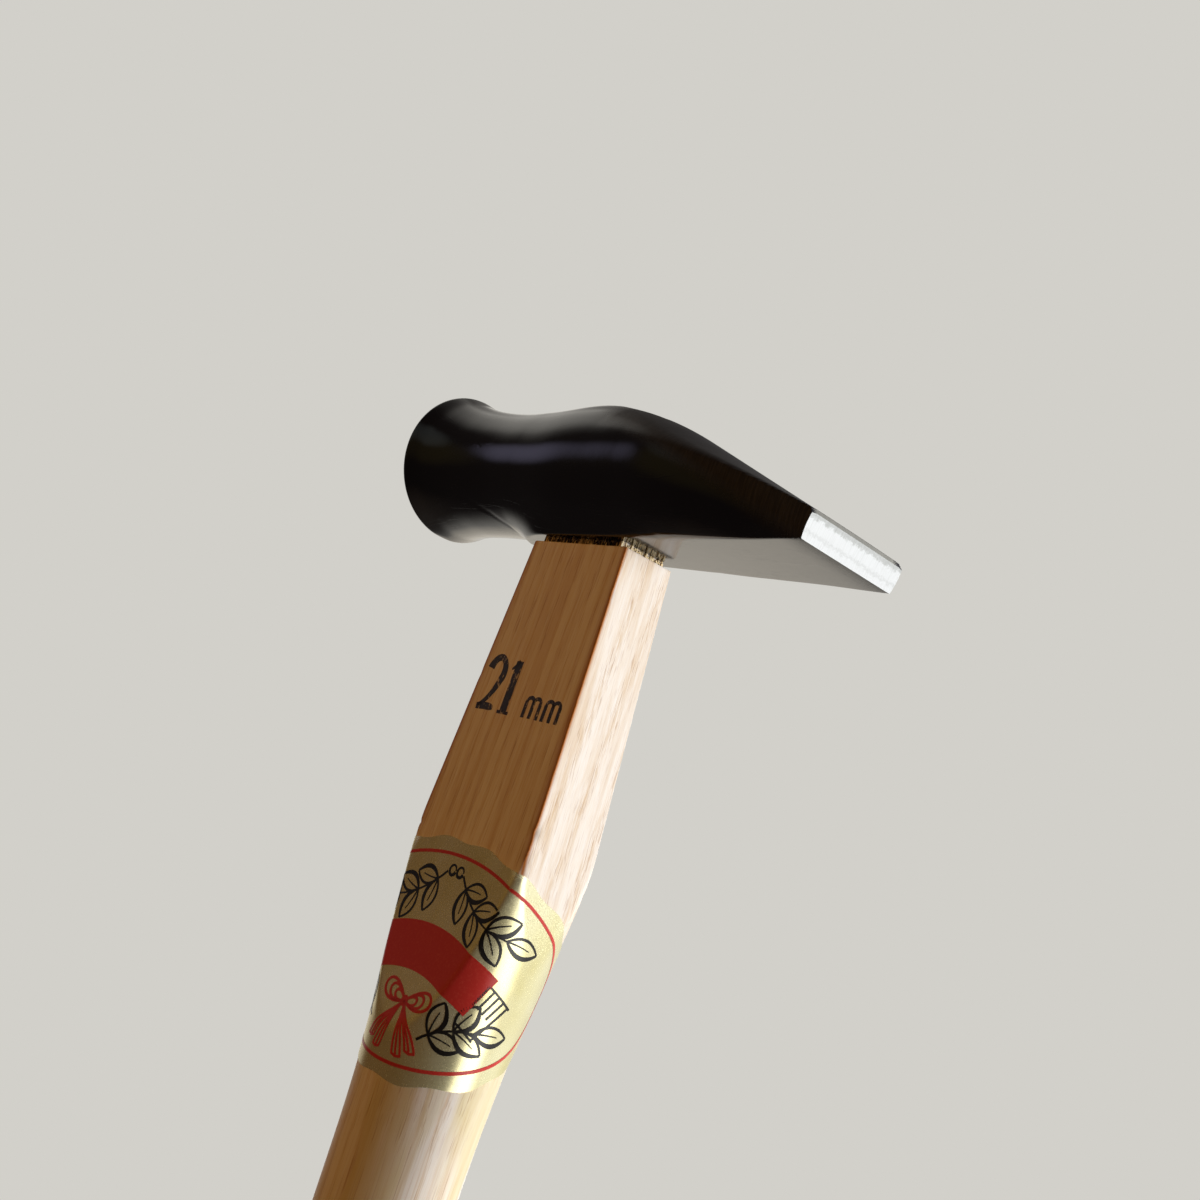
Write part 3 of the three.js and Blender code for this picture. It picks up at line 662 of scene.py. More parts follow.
def make_handle(s):
    """The handle and its tenon in one skin: sections of the oval and the flats from the eased butt
    to the shoulder, less the knocks, then rings of the eye's rectangle that shrink to close the
    tenon's top."""
    swing = np.linspace(0, np.pi / 2, 9)[:-1]
    shoulder = BELLY_MM - FRINGE_HEIGHT
    z = np.concatenate([
        BUTT_EASE * (1 - np.cos(swing)), np.arange(BUTT_EASE, 190, 2.5), np.arange(190, 232, 0.8),
        np.arange(232, shoulder - 0.2, 0.4), [shoulder - 0.15, shoulder - 0.05, shoulder],
    ])
    inset = np.zeros(len(z))
    inset[:len(swing)] = BUTT_EASE * (1 - np.sin(swing))
    inset[-3:] = (0.0, 0.03, 0.12)
    turn, corner = handle_turns(z, s)
    skin = handle_section(z[:, None], turn, s)
    skin = skin - inset[:, None] - knocks(z[:, None], turn, corner[:, None])
    level = np.repeat(z[:, None], turn.shape[1], 1)
    outside = np.stack([skin * np.cos(turn), skin * np.sin(turn), level], -1)
    top = turn[-1]
    half_length, half_width = EYE_LENGTH / 2 - TENON_GAP, EYE_WIDTH / 2 - TENON_GAP
    block = np.minimum(
        half_length / np.maximum(np.abs(np.cos(top)), 1e-3),
        half_width / np.maximum(np.abs(np.sin(top)), 1e-3),
    )
    ring = np.stack([block * np.cos(top), block * np.sin(top)], -1)
    shares = np.array([1, 1, 0.85, 0.65, 0.45, 0.25, 0.1])
    x, y = (ring[None] * shares[:, None, None]).transpose(2, 0, 1)
    crest = BELLY_MM + slope_top(x) - crown_drop(x) * y**2 - TENON_SINK
    crest[0] = shoulder
    tenon = np.stack([x, y, crest], -1)
    grid = np.concatenate([outside, tenon])
    faces = closed_tube(grid)
    columns = grid.shape[1]
    index = np.zeros(len(faces), int)
    index[(len(z) + 1) * columns:] = 1
    # Painted shade along both arrises of the near flat, from 228 mm up: an orange-brown line where the
    # corners turn from the light
    quarter = np.minimum(turn % np.pi, np.pi - turn % np.pi)
    from_arris = (quarter - corner[:, None]) / ARRIS_SHADE_TURN
    arris_shade_mask = np.exp(-(from_arris**2)) * np.clip((z[:, None] - 228) / 12, 0, 1) * (np.sin(turn) < 0)
    marks = np.concatenate([arris_shade_mask * s.arris_shade_share, np.zeros((len(tenon), columns))])
    finishes = [finish_of(planed_white_oak, s), finish_of(sawn_oak_end_grain, s)]
    make_piece("handle_planed", grid, faces, finishes, "handle", 50, index, marks)


def make_fringe(s):
    """Crushed fibres round the neck under the head: a ring of small leaning blocks of uneven size,
    each standing on the handle's shoulder and reaching up to the belly."""
    random = np.random.default_rng(5)
    count = s.fringe_count
    long, wide = EYE_LENGTH - 2 * TENON_GAP, EYE_WIDTH - 2 * TENON_GAP
    way = (np.arange(count) + random.uniform(-0.3, 0.3, count)) / count * 2 * (long + wide)
    side = np.searchsorted(np.cumsum([long, wide, long, wide]), way, side="right") % 4
    corner = np.array([(-1, -1), (1, -1), (1, 1), (-1, 1)], float)
    starts = corner * (long / 2, wide / 2)
    along = np.array([(1, 0), (0, 1), (-1, 0), (0, -1)], float)
    out = np.array([(0, -1), (1, 0), (0, 1), (-1, 0)], float)
    gone = way - np.array([0, long, long + wide, 2 * long + wide])[side]
    foot = starts[side] + along[side] * gone[:, None]
    foot = foot + out[side] * random.uniform(-0.05, 0.28, count)[:, None]
    width = random.uniform(0.16, 0.34, count)
    depth = random.uniform(0.2, 0.42, count)
    height = np.minimum(random.uniform(0.55, 1.1, count), FRINGE_HEIGHT + 0.05)
    lean = random.uniform(-0.12, 0.12, (count, 2))
    base = corner[None, :, 0:1] * along[side][:, None] * width[:, None, None] / 2
    base = base + corner[None, :, 1:2] * out[side][:, None] * depth[:, None, None] / 2
    low = foot[:, None] + base
    high = foot[:, None] + base * 0.7 + lean[:, None]
    floor = np.full((count, 4, 1), BELLY_MM - FRINGE_HEIGHT - 0.05)
    levels = floor + height[:, None, None]
    blocks = np.stack([np.concatenate([low, floor], -1), np.concatenate([high, levels], -1)], 1)
    faces = [face for i in range(count) for face in closed_tube(blocks[i], 8 * i)]
    finish = finish_of(crushed_oak_fibres, s)
    make_piece("handle_crushed_fringe", blocks, faces, [finish], None, 30)


def make_wedge(s):
    """The wedge in the tenon's top: a bar that narrows downwards, its top following the slope,
    slightly rounded over by the hammer that drove it."""
    low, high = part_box("wedge")
    low, high = np.array(low) / MM, np.array(high) / MM
    x = np.linspace(low[0], high[0], 25)
    turn = np.linspace(0, np.pi, 9)
    half = (high[1] - low[1]) / 2
    top = np.minimum(BELLY_MM + slope_top(x) - TENON_SINK + WEDGE_PROUD, high[2])
    grid = np.zeros((len(x), len(turn) + 2, 3))
    grid[..., 0] = x[:, None]
    grid[..., 1] = np.concatenate([-half * np.cos(turn), [WEDGE_FOOT_HALF, -WEDGE_FOOT_HALF]])
    grid[:, :-2, 2] = top[:, None] - WEDGE_CROWN * (1 - np.sin(turn) ** 0.5)
    grid[:, -2:, 2] = low[2]
    finish = finish_of(sheared_mild_steel, s)
    make_piece("wedge_bar", grid, closed_tube(grid), [finish], "wedge", 40)


# Label

LABEL_MIDDLE = 227.0
FOIL_GAP = 0.015
SCALLOPS = 18
SCALLOP_DEPTH = 0.015
PRINT_GAP = 0.008
PRINT_TOP = 0.03
PRINT_RING = (20.5, 12.0)
BANNER_RADIUS = 23.6
BANNER_DEPTH = 5.6
BANNER_HALF = 11.8
BANNER_TOP = 3.7
BANNER_END_DROP = 0.5
SKIN_S = np.linspace(-26, 26, 417)
SKIN_Z = np.linspace(-16, 16, 129)


def skin_table(s):
    """The handle's skin unrolled: places and outward directions at distances round from the middle
    of the front face, for heights from the label's middle. Distances are summed along the
    section."""
    turn = -np.pi / 2 + np.linspace(-1.05, 1.05, 1401) * np.pi
    front = len(turn) // 2
    skin = handle_section(LABEL_MIDDLE + SKIN_Z[:, None], turn[None], s)
    x, y = skin * np.cos(turn), skin * np.sin(turn)
    step = np.hypot(np.diff(x, axis=1), np.diff(y, axis=1))
    way = np.concatenate([np.zeros((len(SKIN_Z), 1)), np.cumsum(step, 1)], 1)
    way = way - way[:, [front]]
    across = np.stack([np.interp(SKIN_S, w, row) for w, row in zip(way, x)])
    back = np.stack([np.interp(SKIN_S, w, row) for w, row in zip(way, y)])
    spread = np.ones(7) / 7
    tangent = np.stack([
        [np.convolve(row, spread, "same") for row in np.gradient(place, axis=1)]
        for place in (across, back)
    ], -1)
    tangent /= np.linalg.norm(tangent, axis=-1, keepdims=True)
    return np.stack([across, back, tangent[..., 1], -tangent[..., 0]], -1)


def wrap(table, sheet, lift):
    """Lays flat points on the handle: each is a distance round from the middle of the front face
    and a height from the label's middle, read between the four nearest entries of the table, and
    then lifted."""
    around, height = sheet[..., 0], sheet[..., 1]
    u = np.clip((around - SKIN_S[0]) / (SKIN_S[1] - SKIN_S[0]), 0, len(SKIN_S) - 1.001)
    v = np.clip((height - SKIN_Z[0]) / (SKIN_Z[1] - SKIN_Z[0]), 0, len(SKIN_Z) - 1.001)
    i, j = v.astype(int), u.astype(int)
    a, b = (v - i)[..., None], (u - j)[..., None]
    found = (
        table[i, j] * (1 - a) * (1 - b) + table[i, j + 1] * (1 - a) * b
        + table[i + 1, j] * a * (1 - b) + table[i + 1, j + 1] * a * b
    )
    place = found[..., :2] + lift * found[..., 2:]
    return np.concatenate([place, LABEL_MIDDLE + height[..., None]], -1)


def slab(table, sheet, low, high):
    """A closed thin sheet over a grid of flat points: its top and bottom are the grid at two lifts,
    and its rim joins them."""
    ring = np.concatenate([wrap(table, sheet, high), wrap(table, sheet[:, ::-1], low)], 1)
    return ring, closed_tube(ring)


def widened(path, width, shares):
    """Copies of a flat path, moved along its normal by shares of half its width."""
    path = np.asarray(path, float)
    along = np.gradient(path, axis=0)
    along /= np.maximum(np.linalg.norm(along, axis=1, keepdims=True), 1e-9)
    normal = np.stack([-along[:, 1], along[:, 0]], -1)
    half = np.broadcast_to(np.asarray(width, float) / 2, len(path))[:, None]
    return np.stack([path + normal * half * share for share in shares], 1)


def gather(parts):
    """Joins several small grids and their faces into one set of points and faces."""
    points, faces, start = [], [], 0
    for grid, own in parts:
        flat = grid.reshape(-1, 3)
        points.append(flat)
        faces += [[i + start for i in face] for face in own]
        start += len(flat)
    return np.concatenate(points), faces


def arc(centre, radius, start, end, count, squash=1.0):
    """Points on a circle or an ellipse between two angles in degrees."""
    turn = np.radians(np.linspace(start, end, count))
    return centre + radius * np.stack([np.cos(turn), squash * np.sin(turn)], -1)


def bowed(start, end, height, count=14):
    """Points from start to end, pushed sideways by a parabola of that height."""
    start, end = np.asarray(start, float), np.asarray(end, float)
    t = np.linspace(0, 1, count)[:, None]
    along = end - start
    side = np.array([-along[1], along[0]]) / np.linalg.norm(along)
    return start + along * t + side * height * 4 * t * (1 - t)


def bezier(a, b, c, d, count):
    """A cubic curve between two points, drawn by two handles."""
    t = np.linspace(0, 1, count)[:, None]
    return a * (1 - t) ** 3 + 3 * b * t * (1 - t) ** 2 + 3 * c * t**2 * (1 - t) + d * t**3


def leaf(foot, angle, length, width):
    """A printed leaf: two bowed sides that meet in a point, one drawn heavier, and a mid rib."""
    reach = length * np.array([np.cos(np.radians(angle)), np.sin(np.radians(angle))])
    tip = foot + reach
    swell = np.sin(np.linspace(0, np.pi, 14))
    return [
        (bowed(foot, tip, width / 2), 0.24 + 0.1 * swell),
        (bowed(foot, tip, -width / 2), 0.26 + 0.3 * swell),
        (bowed(foot, foot + 0.7 * reach, 0.1), np.linspace(0.25, 0.12, 14)),
    ]


def sprig(start, end, height, pairs, length, width):
    """A printed laurel sprig: a bowed stem with pairs of leaves that turn with it, and one at its
    tip."""
    stem = bowed(start, end, height, 4 * pairs + 2)
    along = np.degrees(np.arctan2(*np.gradient(stem, axis=0).T[::-1]))
    lines = [(stem, np.linspace(0.3, 0.2, len(stem)))]
    for k in range(2, 4 * pairs, 4):
        for side in (42, -42):
            lines += leaf(stem[k], along[k] + side, length, width)
    return lines + leaf(stem[-1], along[-1], length, width)


def banner(turn, level):
    """Points of the printed banner, as [across, height], at an angle along its arc and at a level
    that runs from nought at its upper edge to one at its lower."""
    radius = BANNER_RADIUS - BANNER_DEPTH * level
    across = radius * np.sin(turn) * (1 + 0.02 * level)
    return np.stack([across, BANNER_TOP - BANNER_RADIUS + radius * np.cos(turn)], -1)


def banner_end(sign):
    """A folded end of the printed banner: two long edges and close hatching behind the end."""
    edge = np.linspace(11.8, 15.6, 12) / BANNER_RADIUS
    lines = [(banner(edge, level), 0.28) for level in (0.12, 1.12)]
    for k in range(5):
        down = np.linspace(0.12, 0.62 if k < 4 else 1.12, 10)
        lines.append((banner((11.9 + 0.85 * k) / BANNER_RADIUS, down), 0.26))
    return [((path - (0, BANNER_END_DROP)) * (sign, 1), width) for path, width in lines]


def bow(sign):
    """One half of the printed bow in line work: nested loops, and two tails drawn by close
    lines."""
    knot = np.array([0.8, -5.2])
    lines = []
    for scale in (1.0, 0.74, 0.48):
        out = knot + np.array([sign * 5.6, 5.0]) * scale
        back = knot + np.array([sign * 6.2, -2.4]) * scale
        lines.append((bezier(knot, out, back, knot, 28), 0.36))
    for reach, fall in ((3.6, 5.0), (1.9, 5.8)):
        foot = knot + (sign * reach, -fall)
        for k in (-0.65, 0, 0.65):
            end = foot + (k, 0.25 * abs(k))
            line = bezier(knot, knot + (sign * 0.9, -1.2), end + (-sign * 0.6, 1.8), end, 16)
            lines.append((line, 0.3))
        lines.append(([foot + (k, 0.25 * abs(k)) for k in (-0.75, 0, 0.75)], 0.3))
    if sign > 0:
        lines.append((arc(knot, 0.35, 0, 340, 16), 0.6))
    return lines


def red_lines():
    """The label's red line work: a thin oval ring and the bow under the banner."""
    long, tall = PRINT_RING
    ring = arc((0, 0), long, 0, 359, 240, tall / long)
    return [(np.concatenate([ring, ring[:1]]), 0.4), *bow(-1), *bow(1)]


def black_lines():
    """The label's black line work: two laurel sprigs over the banner that meet at two berries, two
    under it, and the banner's folded ends."""
    lines = []
    for sign in (-1, 1):
        lines += sprig((sign * 1.6, 9.9), (sign * 11.4, 4.9), -sign * 1.0, 3, 4.1, 2.1)
        lines += sprig((sign * 4.8, -8.4), (sign * 10.9, -5.8), sign * 0.6, 2, 4.0, 2.1)
        lines.append((arc((sign * 0.75, 10.2), 0.6, 0, 345, 20), np.linspace(0.2, 0.45, 20)))
        lines += banner_end(sign)
    return lines


def make_label(s, wood):
    """The foil label and its print. The sheet is an ellipse with a scalloped rim: across is the
    width of the ellipse at each rise times a share from side to side, and both lie on the unrolled
    skin. The print is the plain curved banner and line work, just over the foil."""
    table = skin_table(wood)
    swing = np.linspace(-np.pi / 2 + 0.05, np.pi / 2 - 0.05, 97)[:, None]
    across = np.linspace(-1, 1, 241)[None] * np.cos(swing)
    rise = np.repeat(np.sin(swing), 241, 1)
    scallop = 1 - SCALLOP_DEPTH * (1 - np.cos(SCALLOPS * np.arctan2(rise, across)))
    half = (s.label_girth / MM / 2, s.label_height / MM / 2)
    sheet = np.stack([across, rise], -1) * half * scallop[..., None]
    foil = s.foil_thickness / MM
    grid, faces = slab(table, sheet, FOIL_GAP, foil)
    finish = finish_of(gold_foil_paper, s)
    make_piece("label_foil_sheet", grid, faces, [finish], "label", 40)

    low, high = foil + PRINT_GAP, foil + PRINT_TOP
    turn = np.arcsin(BANNER_HALF * np.linspace(-1, 1, 97) / BANNER_RADIUS)[:, None]
    field = slab(table, banner(turn, np.linspace(0, 1, 15)[None]), low, high)
    for name, parts, lines, finish in (
        ("label_red_print", [field], red_lines(), finish_of(red_gloss_ink, s)),
        ("label_black_print", [], black_lines(), finish_of(black_gloss_ink, s)),
    ):
        for path, width in lines:
            parts.append(slab(table, widened(path, width, (1, 0.33, -0.33, -1)), low, high))
        points, faces = gather(parts)
        make_piece(name, points, faces, [finish], None, 40)


# Size mark

MARK_LEFT = -8.2
INK_GAP = 0.006
INK_TOP = 0.02


def stroke(path, width):
    """A stamped line of changing width as a closed thin strip on the handle's wide front flat,
    which leans by its growth with the drop below the belly."""
    flat = widened(path, width, (1, -1, -1, 1))
    lift = (INK_TOP, INK_TOP, INK_GAP, INK_GAP)
    ring = np.stack([flat[..., 0], -(side_flat(BELLY_MM - flat[..., 1]) + lift), flat[..., 1]], -1)
    return ring, closed_tube(ring)


def make_mark(s, wood):
    """The size in millimetres, stamped in plain upright figures with a small unit beside them. The
    two is an arc, a bowed leg and a foot, the one is a stem with a flag and a foot, and each m
    three legs."""
    base, tall = s.mark_height / MM, s.figure_height / MM
    wide, small = 0.5 * tall, 0.42 * tall
    left, stem, head = MARK_LEFT, MARK_LEFT + wide * 1.62, base + tall
    top = arc((left + wide * 0.5, base + tall * 0.74), wide * 0.42, 170, -35, 20, 1.3)
    leg = bowed(top[-1], (left + wide * 0.08, base + 0.35), 0.35)
    two = np.concatenate([top, leg[1:]])
    way = np.linspace(0, 1, len(two))
    swell = np.interp(way, [0, 0.1, 0.3, 0.55, 0.8, 1], [1.35, 1.1, 0.8, 1.2, 0.75, 0.6])
    flag = [(stem - 1.1, base + tall * 0.83), (stem - 0.5, base + tall * 0.9), (stem, head)]
    foot = bowed((left, base + 0.35), (left + wide * 0.98, base + 0.45), 0.12, 8)
    strokes = [
        stroke(two, swell),
        stroke(foot, [0.8, 0.9, 0.95, 0.95, 0.95, 0.95, 0.85, 0.5]),
        stroke([(stem, base + 0.2), (stem, base + tall * 0.5), (stem, head)], 1.3),
        stroke(flag, [0.3, 0.5, 0.6]),
        stroke([(x, base + 0.16) for x in (stem - 1.1, stem, stem + 1.1)], 0.42),
    ]
    for start in (1.2, 4.9):
        for x in (start, start + 1.3, start + 2.6):
            strokes.append(stroke([(x, base + 0.1), (x, base + small * 0.75)], 0.6))
        for x in (start + 0.65, start + 1.95):
            strokes.append(stroke(arc((x, base + small * 0.72), 0.65, 180, 0, 12, 0.95), 0.5))
    points, faces = gather(strokes)
    finish = finish_of(stamping_ink_on_oak, s, wood)
    make_piece("handle_size_mark", points, faces, [finish], None, 40)


# Stage

def room_light(tree, way, s):
    """What the finishes see around them in a direction: a dark room, a pale wall behind the object
    that ends above and below in shade, a large bright window to the right and small glimmers to the
    left. Each row aims at a place and fades from one cosine to another, up to its reach."""
    height = add(tree, "SeparateXYZ", [way]).outputs["Z"]
    low = add(tree, "MapRange", [height, -0.72, -0.4, 0.0, 1.0])
    high = add(tree, "MapRange", [height, 0.6, 0.85, 1.0, 0.12])
    lit = add(tree, "Math", [low, high], operation="MULTIPLY")
    pane = (*(s.glare * part for part in s.window[:3]), 1.0)
    colour = s.dark_room
    for aim, start, full, tint, reach in (
        ((-0.3, 0.905, 0.3), 0.04, 0.4, s.wall, lit),
        ((0.77, 0.62, -0.13), 0.35, 0.93, s.window, 1.0),
        ((0.945, 0.0, -0.32), 0.92, 0.975, pane, 1.0),
        ((-0.77, 0.59, -0.22), 0.94, 0.99, s.far_floor, 1.0),
        ((-0.6, 0.52, 0.61), 0.95, 0.985, s.dark_room, 0.75),
        ((-0.81, -0.33, 0.47), 0.975, 0.992, s.dark_room, 0.3),
        ((-0.87, -0.43, 0.22), 0.975, 0.998, s.small_window, 0.65),
        ((-0.58, -0.8, 0.16), 0.93, 0.995, s.warm_corner, 0.6),
        ((-0.53, -0.74, 0.42), 0.97, 0.997, s.cool_corner, 0.5),
    ):
        near = add(tree, "VectorMath", [way, aim], operation="DOT_PRODUCT")
        share = add(tree, "MapRange", [
            near, start, full, 0.0, reach,
        ], interpolation_type="SMOOTHSTEP")
        colour = add(tree, "Mix", {0: share, 6: colour, 7: tint}, data_type="RGBA")
    return colour


def make_floor(s):
    """A round floor: rings of points from the middle to the rim, close together near the object."""
    near, far = np.linspace(0.01, 0.6, 24), np.linspace(0.65, s.floor_radius, 24)
    radius = np.concatenate([near, far])
    turn = np.linspace(0, 2 * np.pi, 97)[:-1]
    x, y = np.outer(radius, np.cos(turn)), np.outer(radius, np.sin(turn))
    points = np.stack([x, y, np.full(x.shape, -0.2 * MM)], -1)
    faces = tube_faces(*x.shape).tolist()
    faces.append(list(range(len(turn))))
    mesh = bpy.data.meshes.new("studio_floor")
    mesh.from_pydata(points.reshape(-1, 3).tolist(), [], faces)
    mesh.materials.append(paper_finish(s))
    floor = bpy.data.objects.new("studio_floor", mesh)
    bpy.context.scene.collection.objects.link(floor)


def paper_finish(s):
    """Matt studio paper: a fine tooth, no gloss, and it keeps shadows. Seen by the camera it is half
    lit by itself and fades from 12 to 45 cm away into the plain background. Reflections see the
    room in its place."""
    finish, tree, place = new_finish("matt_studio_paper")
    ray = add(tree, "LightPath").outputs
    camera, glossy = ray["Is Camera Ray"], ray["Is Glossy Ray"]
    seen = add(tree, "Math", [camera, glossy], operation="MAXIMUM")
    half = add(tree, "Math", [camera, 0.5], operation="MULTIPLY")
    away = add(tree, "VectorMath", [place], operation="LENGTH")
    far = add(tree, "MapRange", [away, 0.12, 0.45, half, 1.0], interpolation_type="SMOOTHSTEP")
    share = add(tree, "Math", [far, seen], operation="MULTIPLY")
    grain = add(tree, "TexNoise", {"Vector": place, "Scale": 1 / (3 * MM)})
    bump = add(tree, "Bump", {"Strength": 0.1, "Distance": 0.1 * MM, "Height": grain})
    tone = add(tree, "Mix", {
        0: ray["Is Diffuse Ray"], 6: s.backdrop, 7: s.soft_bounce,
    }, data_type="RGBA")
    paper = add(tree, "BsdfPrincipled", {"Base Color": tone, "Roughness": 0.9, "Normal": bump})
    below = add(tree, "VectorMath", [place, (0, 0, BELLY)], operation="SUBTRACT")
    way = add(tree, "VectorMath", [below], operation="NORMALIZE")
    colour = add(tree, "Mix", {
        0: camera, 6: room_light(tree, way, s), 7: s.backdrop,
    }, data_type="RGBA")
    glow = add(tree, "Emission", {"Color": colour, "Strength": 1.0})
    both = add(tree, "MixShader", [share, paper, glow])
    add(tree, "OutputMaterial", {"Surface": both})
    return finish


def make_world(s):
    """The surroundings: the camera sees the plain backdrop, and everything else sees the room."""
    world = bpy.data.worlds.new("studio_room")
    bpy.context.scene.world = world
    world.use_nodes = True
    tree = world.node_tree
    tree.nodes.clear()
    way = add(tree, "TexCoord").outputs["Generated"]
    ray = add(tree, "LightPath").outputs
    room = add(tree, "Mix", {
        0: ray["Is Glossy Ray"], 6: s.soft_room, 7: room_light(tree, way, s),
    }, data_type="RGBA")
    colour = add(tree, "Mix", {0: ray["Is Camera Ray"], 6: room, 7: s.backdrop}, data_type="RGBA")
    light = add(tree, "Background", {"Color": colour, "Strength": 1.0})
    add(tree, "OutputWorld", {"Surface": light})


def add_lamp(name, place, aim, size, power, colour):
    """A rectangular soft lamp at a place, turned towards a point, which reflections don't show."""
    data = bpy.data.lights.new(name, "AREA")
    data.shape = "RECTANGLE"
    data.size, data.size_y = size
    data.energy = power
    data.color = colour[:3]
    lamp = bpy.data.objects.new(name, data)
    lamp.location = place
    lamp.rotation_euler = (Vector(aim) - Vector(place)).to_track_quat("-Z", "Y").to_euler()
    lamp.visible_camera = False
    lamp.visible_glossy = False
    bpy.context.scene.collection.objects.link(lamp)


def make_camera():
    """The photograph's view: a 42 mm lens on a 36 mm sensor, under the head and turned a little up."""
    data = bpy.data.cameras.new("view_from_front_right")
    data.lens = 42.0
    data.sensor_width = 36.0
    camera = bpy.data.objects.new("view_from_front_right", data)
    right = Vector((0.649289, 0.693103, 0.313101))
    down = Vector((0.07445, 0.35178, -0.933117))
    forward = Vector((-0.756889, 0.629173, 0.176805))
    turn = Matrix((right, -down, -forward)).transposed().to_4x4()
    camera.matrix_world = Matrix.Translation((0.132364, -0.108004, BELLY - 0.036901)) @ turn
    bpy.context.scene.collection.objects.link(camera)
    bpy.context.scene.camera = camera


# Settings that a user would change

def colour_of(name, code, words):
    """A colour that a user may change."""
    return FloatVectorProperty(
        name=name, description="Colour of " + words, subtype="COLOR", size=4, min=0, max=1,
        default=linear(code))


def length_of(name, millimetres, words):
    """A length that a user may change."""
    return FloatProperty(
        name=name, description=words, subtype="DISTANCE", unit="LENGTH", min=0,
        default=millimetres * MM)


def share_of(name, value, words):
    """A share from nought to one that a user may change."""
    return FloatProperty(
        name=name, description=words, subtype="FACTOR", min=0, max=1, default=value)


def power_of(name, watts, words):
    """A lamp's power that a user may change."""
    return FloatProperty(name=name, description=words, unit="POWER", min=0, default=watts)


class HeadSettings(PropertyGroup):
    crest_shoulder: length_of("Crest shoulder", 2.2, "Blend between the round cheek and the crest")
    peen_shoulder: length_of("Peen shoulder", 0.5, "Blend between the cheek and the slope")
    belly_edge: length_of("Belly edge", 0.2, "Blend of the eased edge round the flat belly")
    gloss: share_of("Lacquer roughness", 0.09, "Roughness of the lacquer")
    lacquer: colour_of("Lacquer", "#0D0B0C", "the lacquer")
    worn_lacquer: colour_of("Thin lacquer", "#363539", "the lacquer where it is thin and ground")
    steel: colour_of("Ground steel", "#F8FAFA", "the bare ground steel")
    # Painted shade along the peen end's broken top edge, and the grinding's own mottle and streak
    steel_shade: colour_of("Steel shade", "#B9BBB7", "the duller bands in the ground steel")


class HandleSettings(PropertyGroup):
    arris: length_of("Arris", 0.25, "Rounding along the planed corners")
    # Painted shade: how strongly the near arrises take their orange-brown line
    arris_shade_share: share_of("Burnish", 1.0, "How strongly the arrises are darkened by handling")
    fringe_count: IntProperty(
        name="Fringe fibres", description="Number of crushed fibres round the neck",
        subtype="UNSIGNED", default=190, min=20, max=600)
    early_wood: colour_of("Early wood", "#EEDDC4", "the pale bands")
    late_wood: colour_of("Late wood", "#CFA872", "the tan bands")
    fibre: colour_of("Fibres", "#F4E8D6", "the fine pale fibres")
    yellow_stain: colour_of("Yellow stain", "#DCC88C", "the long yellow stains in the grip")
    pore: colour_of("Pores", "#AC7C4E", "the open pores")
    # Painted shade: the colour of the orange-brown line along the near arrises
    arris_shade: colour_of("Burnished arris", "#A65C08", "the rubbed corners")
    # The cream is raised to stand for the light on the fringe's lit end: partly painted light
    crushed: colour_of("Crushed fibres", "#EBD3A4", "the crushed fibres")
    # Partly stain and partly painted shade under the head
    fringe_stain_and_shade: colour_of("Stained fibres", "#2C130C", "the stained fibres")
    wedge_steel: colour_of("Wedge steel", "#8F8F8C", "the wedge")
    wedge_shade: colour_of("Wedge shade", "#5E5C59", "the wedge's bruises")


class LabelSettings(PropertyGroup):
    label_girth: length_of("Label length", 46.6, "Length of the label round the handle")
    label_height: length_of("Label height", 28.0, "Height of the label")
    foil_thickness: length_of("Foil thickness", 0.12, "Thickness of the foil paper")
    foil: colour_of("Foil", "#EFE7B8", "the foil")
    foil_shade: colour_of("Foil shade", "#E2D698", "the foil's fine mottling")
    red: colour_of("Red ink", "#C5332A", "the red print")
    red_thin: colour_of("Thin red ink", "#D2513F", "the red print where it is thin")
    black: colour_of("Black ink", "#17130F", "the black print")
    black_thin: colour_of("Thin black ink", "#2C261C", "the black print where it is thin")


class MarkSettings(PropertyGroup):
    mark_height: length_of("Mark height", 256.5, "Height of the figures' foot above the butt")
    figure_height: length_of("Figure height", 6.8, "Height of the figures")
    ink: colour_of("Stamping ink", "#17120F", "the stamping ink")


class StageSettings(PropertyGroup):
    backdrop: colour_of("Backdrop", "#D2D0CA", "the floor and the background")
    floor_radius: length_of("Floor radius", 1800.0, "Radius of the round floor")
    key_power: power_of("Key light", 31.5, "Power of the large soft lamp")
    fill_power: power_of("Fill light", 2.2, "Power of the weak lamp on the shaded side")
    key_colour: colour_of("Key colour", "#ECF2FF", "the large soft lamp")
    fill_colour: colour_of("Fill colour", "#FFBC6A", "the weak lamp on the shaded side")
    wall: colour_of("Wall", "#DCD8D0", "the wall that reflections see behind the object")
    far_floor: colour_of("Far floor", "#FFF6E6", "the sunlit floor that the belly reflects")
    glare: FloatProperty(
        name="Glare", description="How many times brighter the window's open pane is",
        subtype="FACTOR", default=4.0, min=0, max=20)
    window: colour_of("Window", "#FFFFFF", "the large window that reflections see")
    small_window: colour_of("Small window", "#E0DAFF", "the small window that the cheek shows")
    warm_corner: colour_of("Warm corner", "#6E6240", "the warm corner beside the small window")
    cool_corner: colour_of("Cool corner", "#A5ABA8", "the grey corner over it")
    soft_room: colour_of("Soft room light", "#34271A", "the weak light that comes from all round")
    soft_bounce: colour_of("Soft bounce", "#6A5232", "the light that the floor sends back up")
    dark_room: colour_of("Dark room", "#3B3636", "the rest of the room")


# Operators

class HAMMER_OT_head(Operator):
    """Make the forged head with its ground ends and open eye"""
    bl_idname = "hammer.head"
    bl_label = "Head"

    def execute(self, context):
        make_head(context.scene.hammer_head)
        return {"FINISHED"}


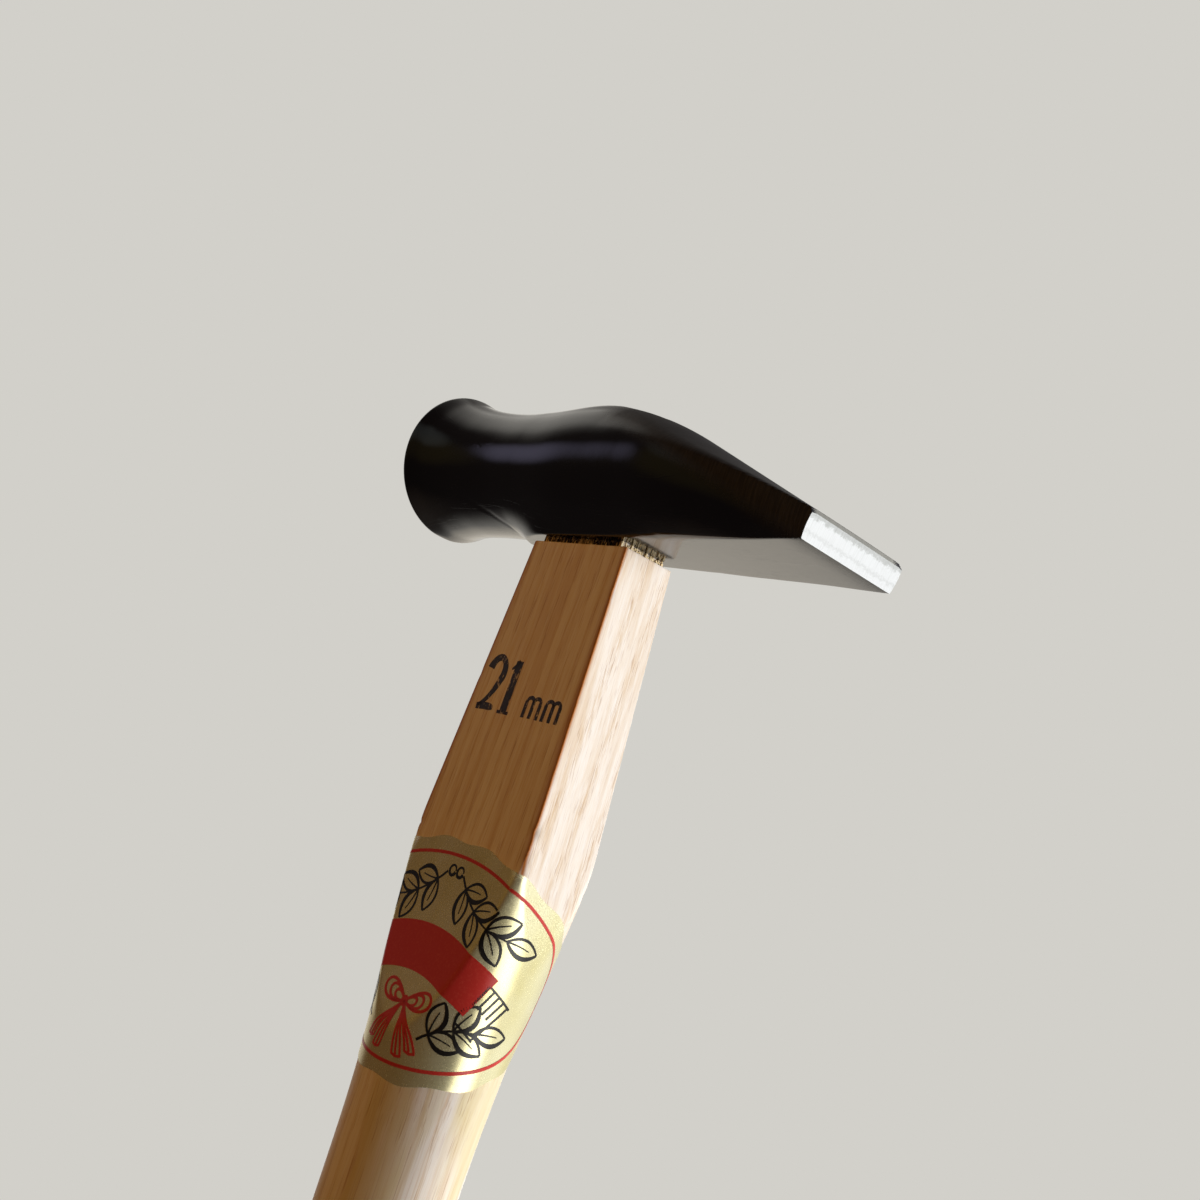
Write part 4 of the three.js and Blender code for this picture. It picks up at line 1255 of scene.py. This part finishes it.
class HAMMER_OT_handle(Operator):
    """Make the planed handle, the crushed fibres at its neck and the wedge"""
    bl_idname = "hammer.handle"
    bl_label = "Handle"

    def execute(self, context):
        s = context.scene.hammer_handle
        make_handle(s)
        make_fringe(s)
        make_wedge(s)
        return {"FINISHED"}


class HAMMER_OT_label(Operator):
    """Wrap the foil label and its print round the handle"""
    bl_idname = "hammer.label"
    bl_label = "Label"

    def execute(self, context):
        make_label(context.scene.hammer_label, context.scene.hammer_handle)
        return {"FINISHED"}


class HAMMER_OT_mark(Operator):
    """Stamp the size on the handle's front flat"""
    bl_idname = "hammer.mark"
    bl_label = "Size mark"

    def execute(self, context):
        make_mark(context.scene.hammer_mark, context.scene.hammer_handle)
        return {"FINISHED"}


class HAMMER_OT_stage(Operator):
    """Set the floor, the background, the lamps and the camera"""
    bl_idname = "hammer.stage"
    bl_label = "Stage"

    def execute(self, context):
        s = context.scene.hammer_stage
        context.scene.view_settings.view_transform = "Standard"
        make_floor(s)
        make_world(s)
        for name, place, size, power, colour in (
            ("window_light", (0.92, 0.78, BELLY - 0.03), (1.7, 0.4), s.key_power, s.key_colour),
            ("room_fill", (-0.35, -0.8, BELLY + 0.3), (0.8, 0.8), s.fill_power, s.fill_colour),
        ):
            add_lamp(name, place, (0, 0, BELLY - 0.02), size, power, colour)
        make_camera()
        return {"FINISHED"}


class HAMMER_PT_pieces(Panel):
    """The hammer's pieces and their settings"""
    bl_label = "Genno Hammer"
    bl_idname = "HAMMER_PT_pieces"
    bl_space_type = "VIEW_3D"
    bl_region_type = "UI"
    bl_category = "Hammer"

    def draw(self, context):
        for name, settings in SETTINGS.items():
            box = self.layout.box()
            box.operator("hammer." + name)
            for key in settings.__annotations__:
                box.prop(getattr(context.scene, "hammer_" + name), key)


SETTINGS = {
    "head": HeadSettings, "handle": HandleSettings, "label": LabelSettings, "mark": MarkSettings,
    "stage": StageSettings,
}
CLASSES = (
    *SETTINGS.values(), HAMMER_OT_head, HAMMER_OT_handle, HAMMER_OT_label, HAMMER_OT_mark,
    HAMMER_OT_stage, HAMMER_PT_pieces,
)


def register():
    for made in CLASSES:
        bpy.utils.register_class(made)
    for name, settings in SETTINGS.items():
        setattr(Scene, "hammer_" + name, PointerProperty(type=settings))


def unregister():
    for name in SETTINGS:
        delattr(Scene, "hammer_" + name)
    for made in reversed(CLASSES):
        bpy.utils.unregister_class(made)


def main():
    register()
    bpy.ops.hammer.head()
    bpy.ops.hammer.handle()
    bpy.ops.hammer.label()
    bpy.ops.hammer.mark()
    bpy.ops.hammer.stage()


if __name__ == "__main__":
    main()
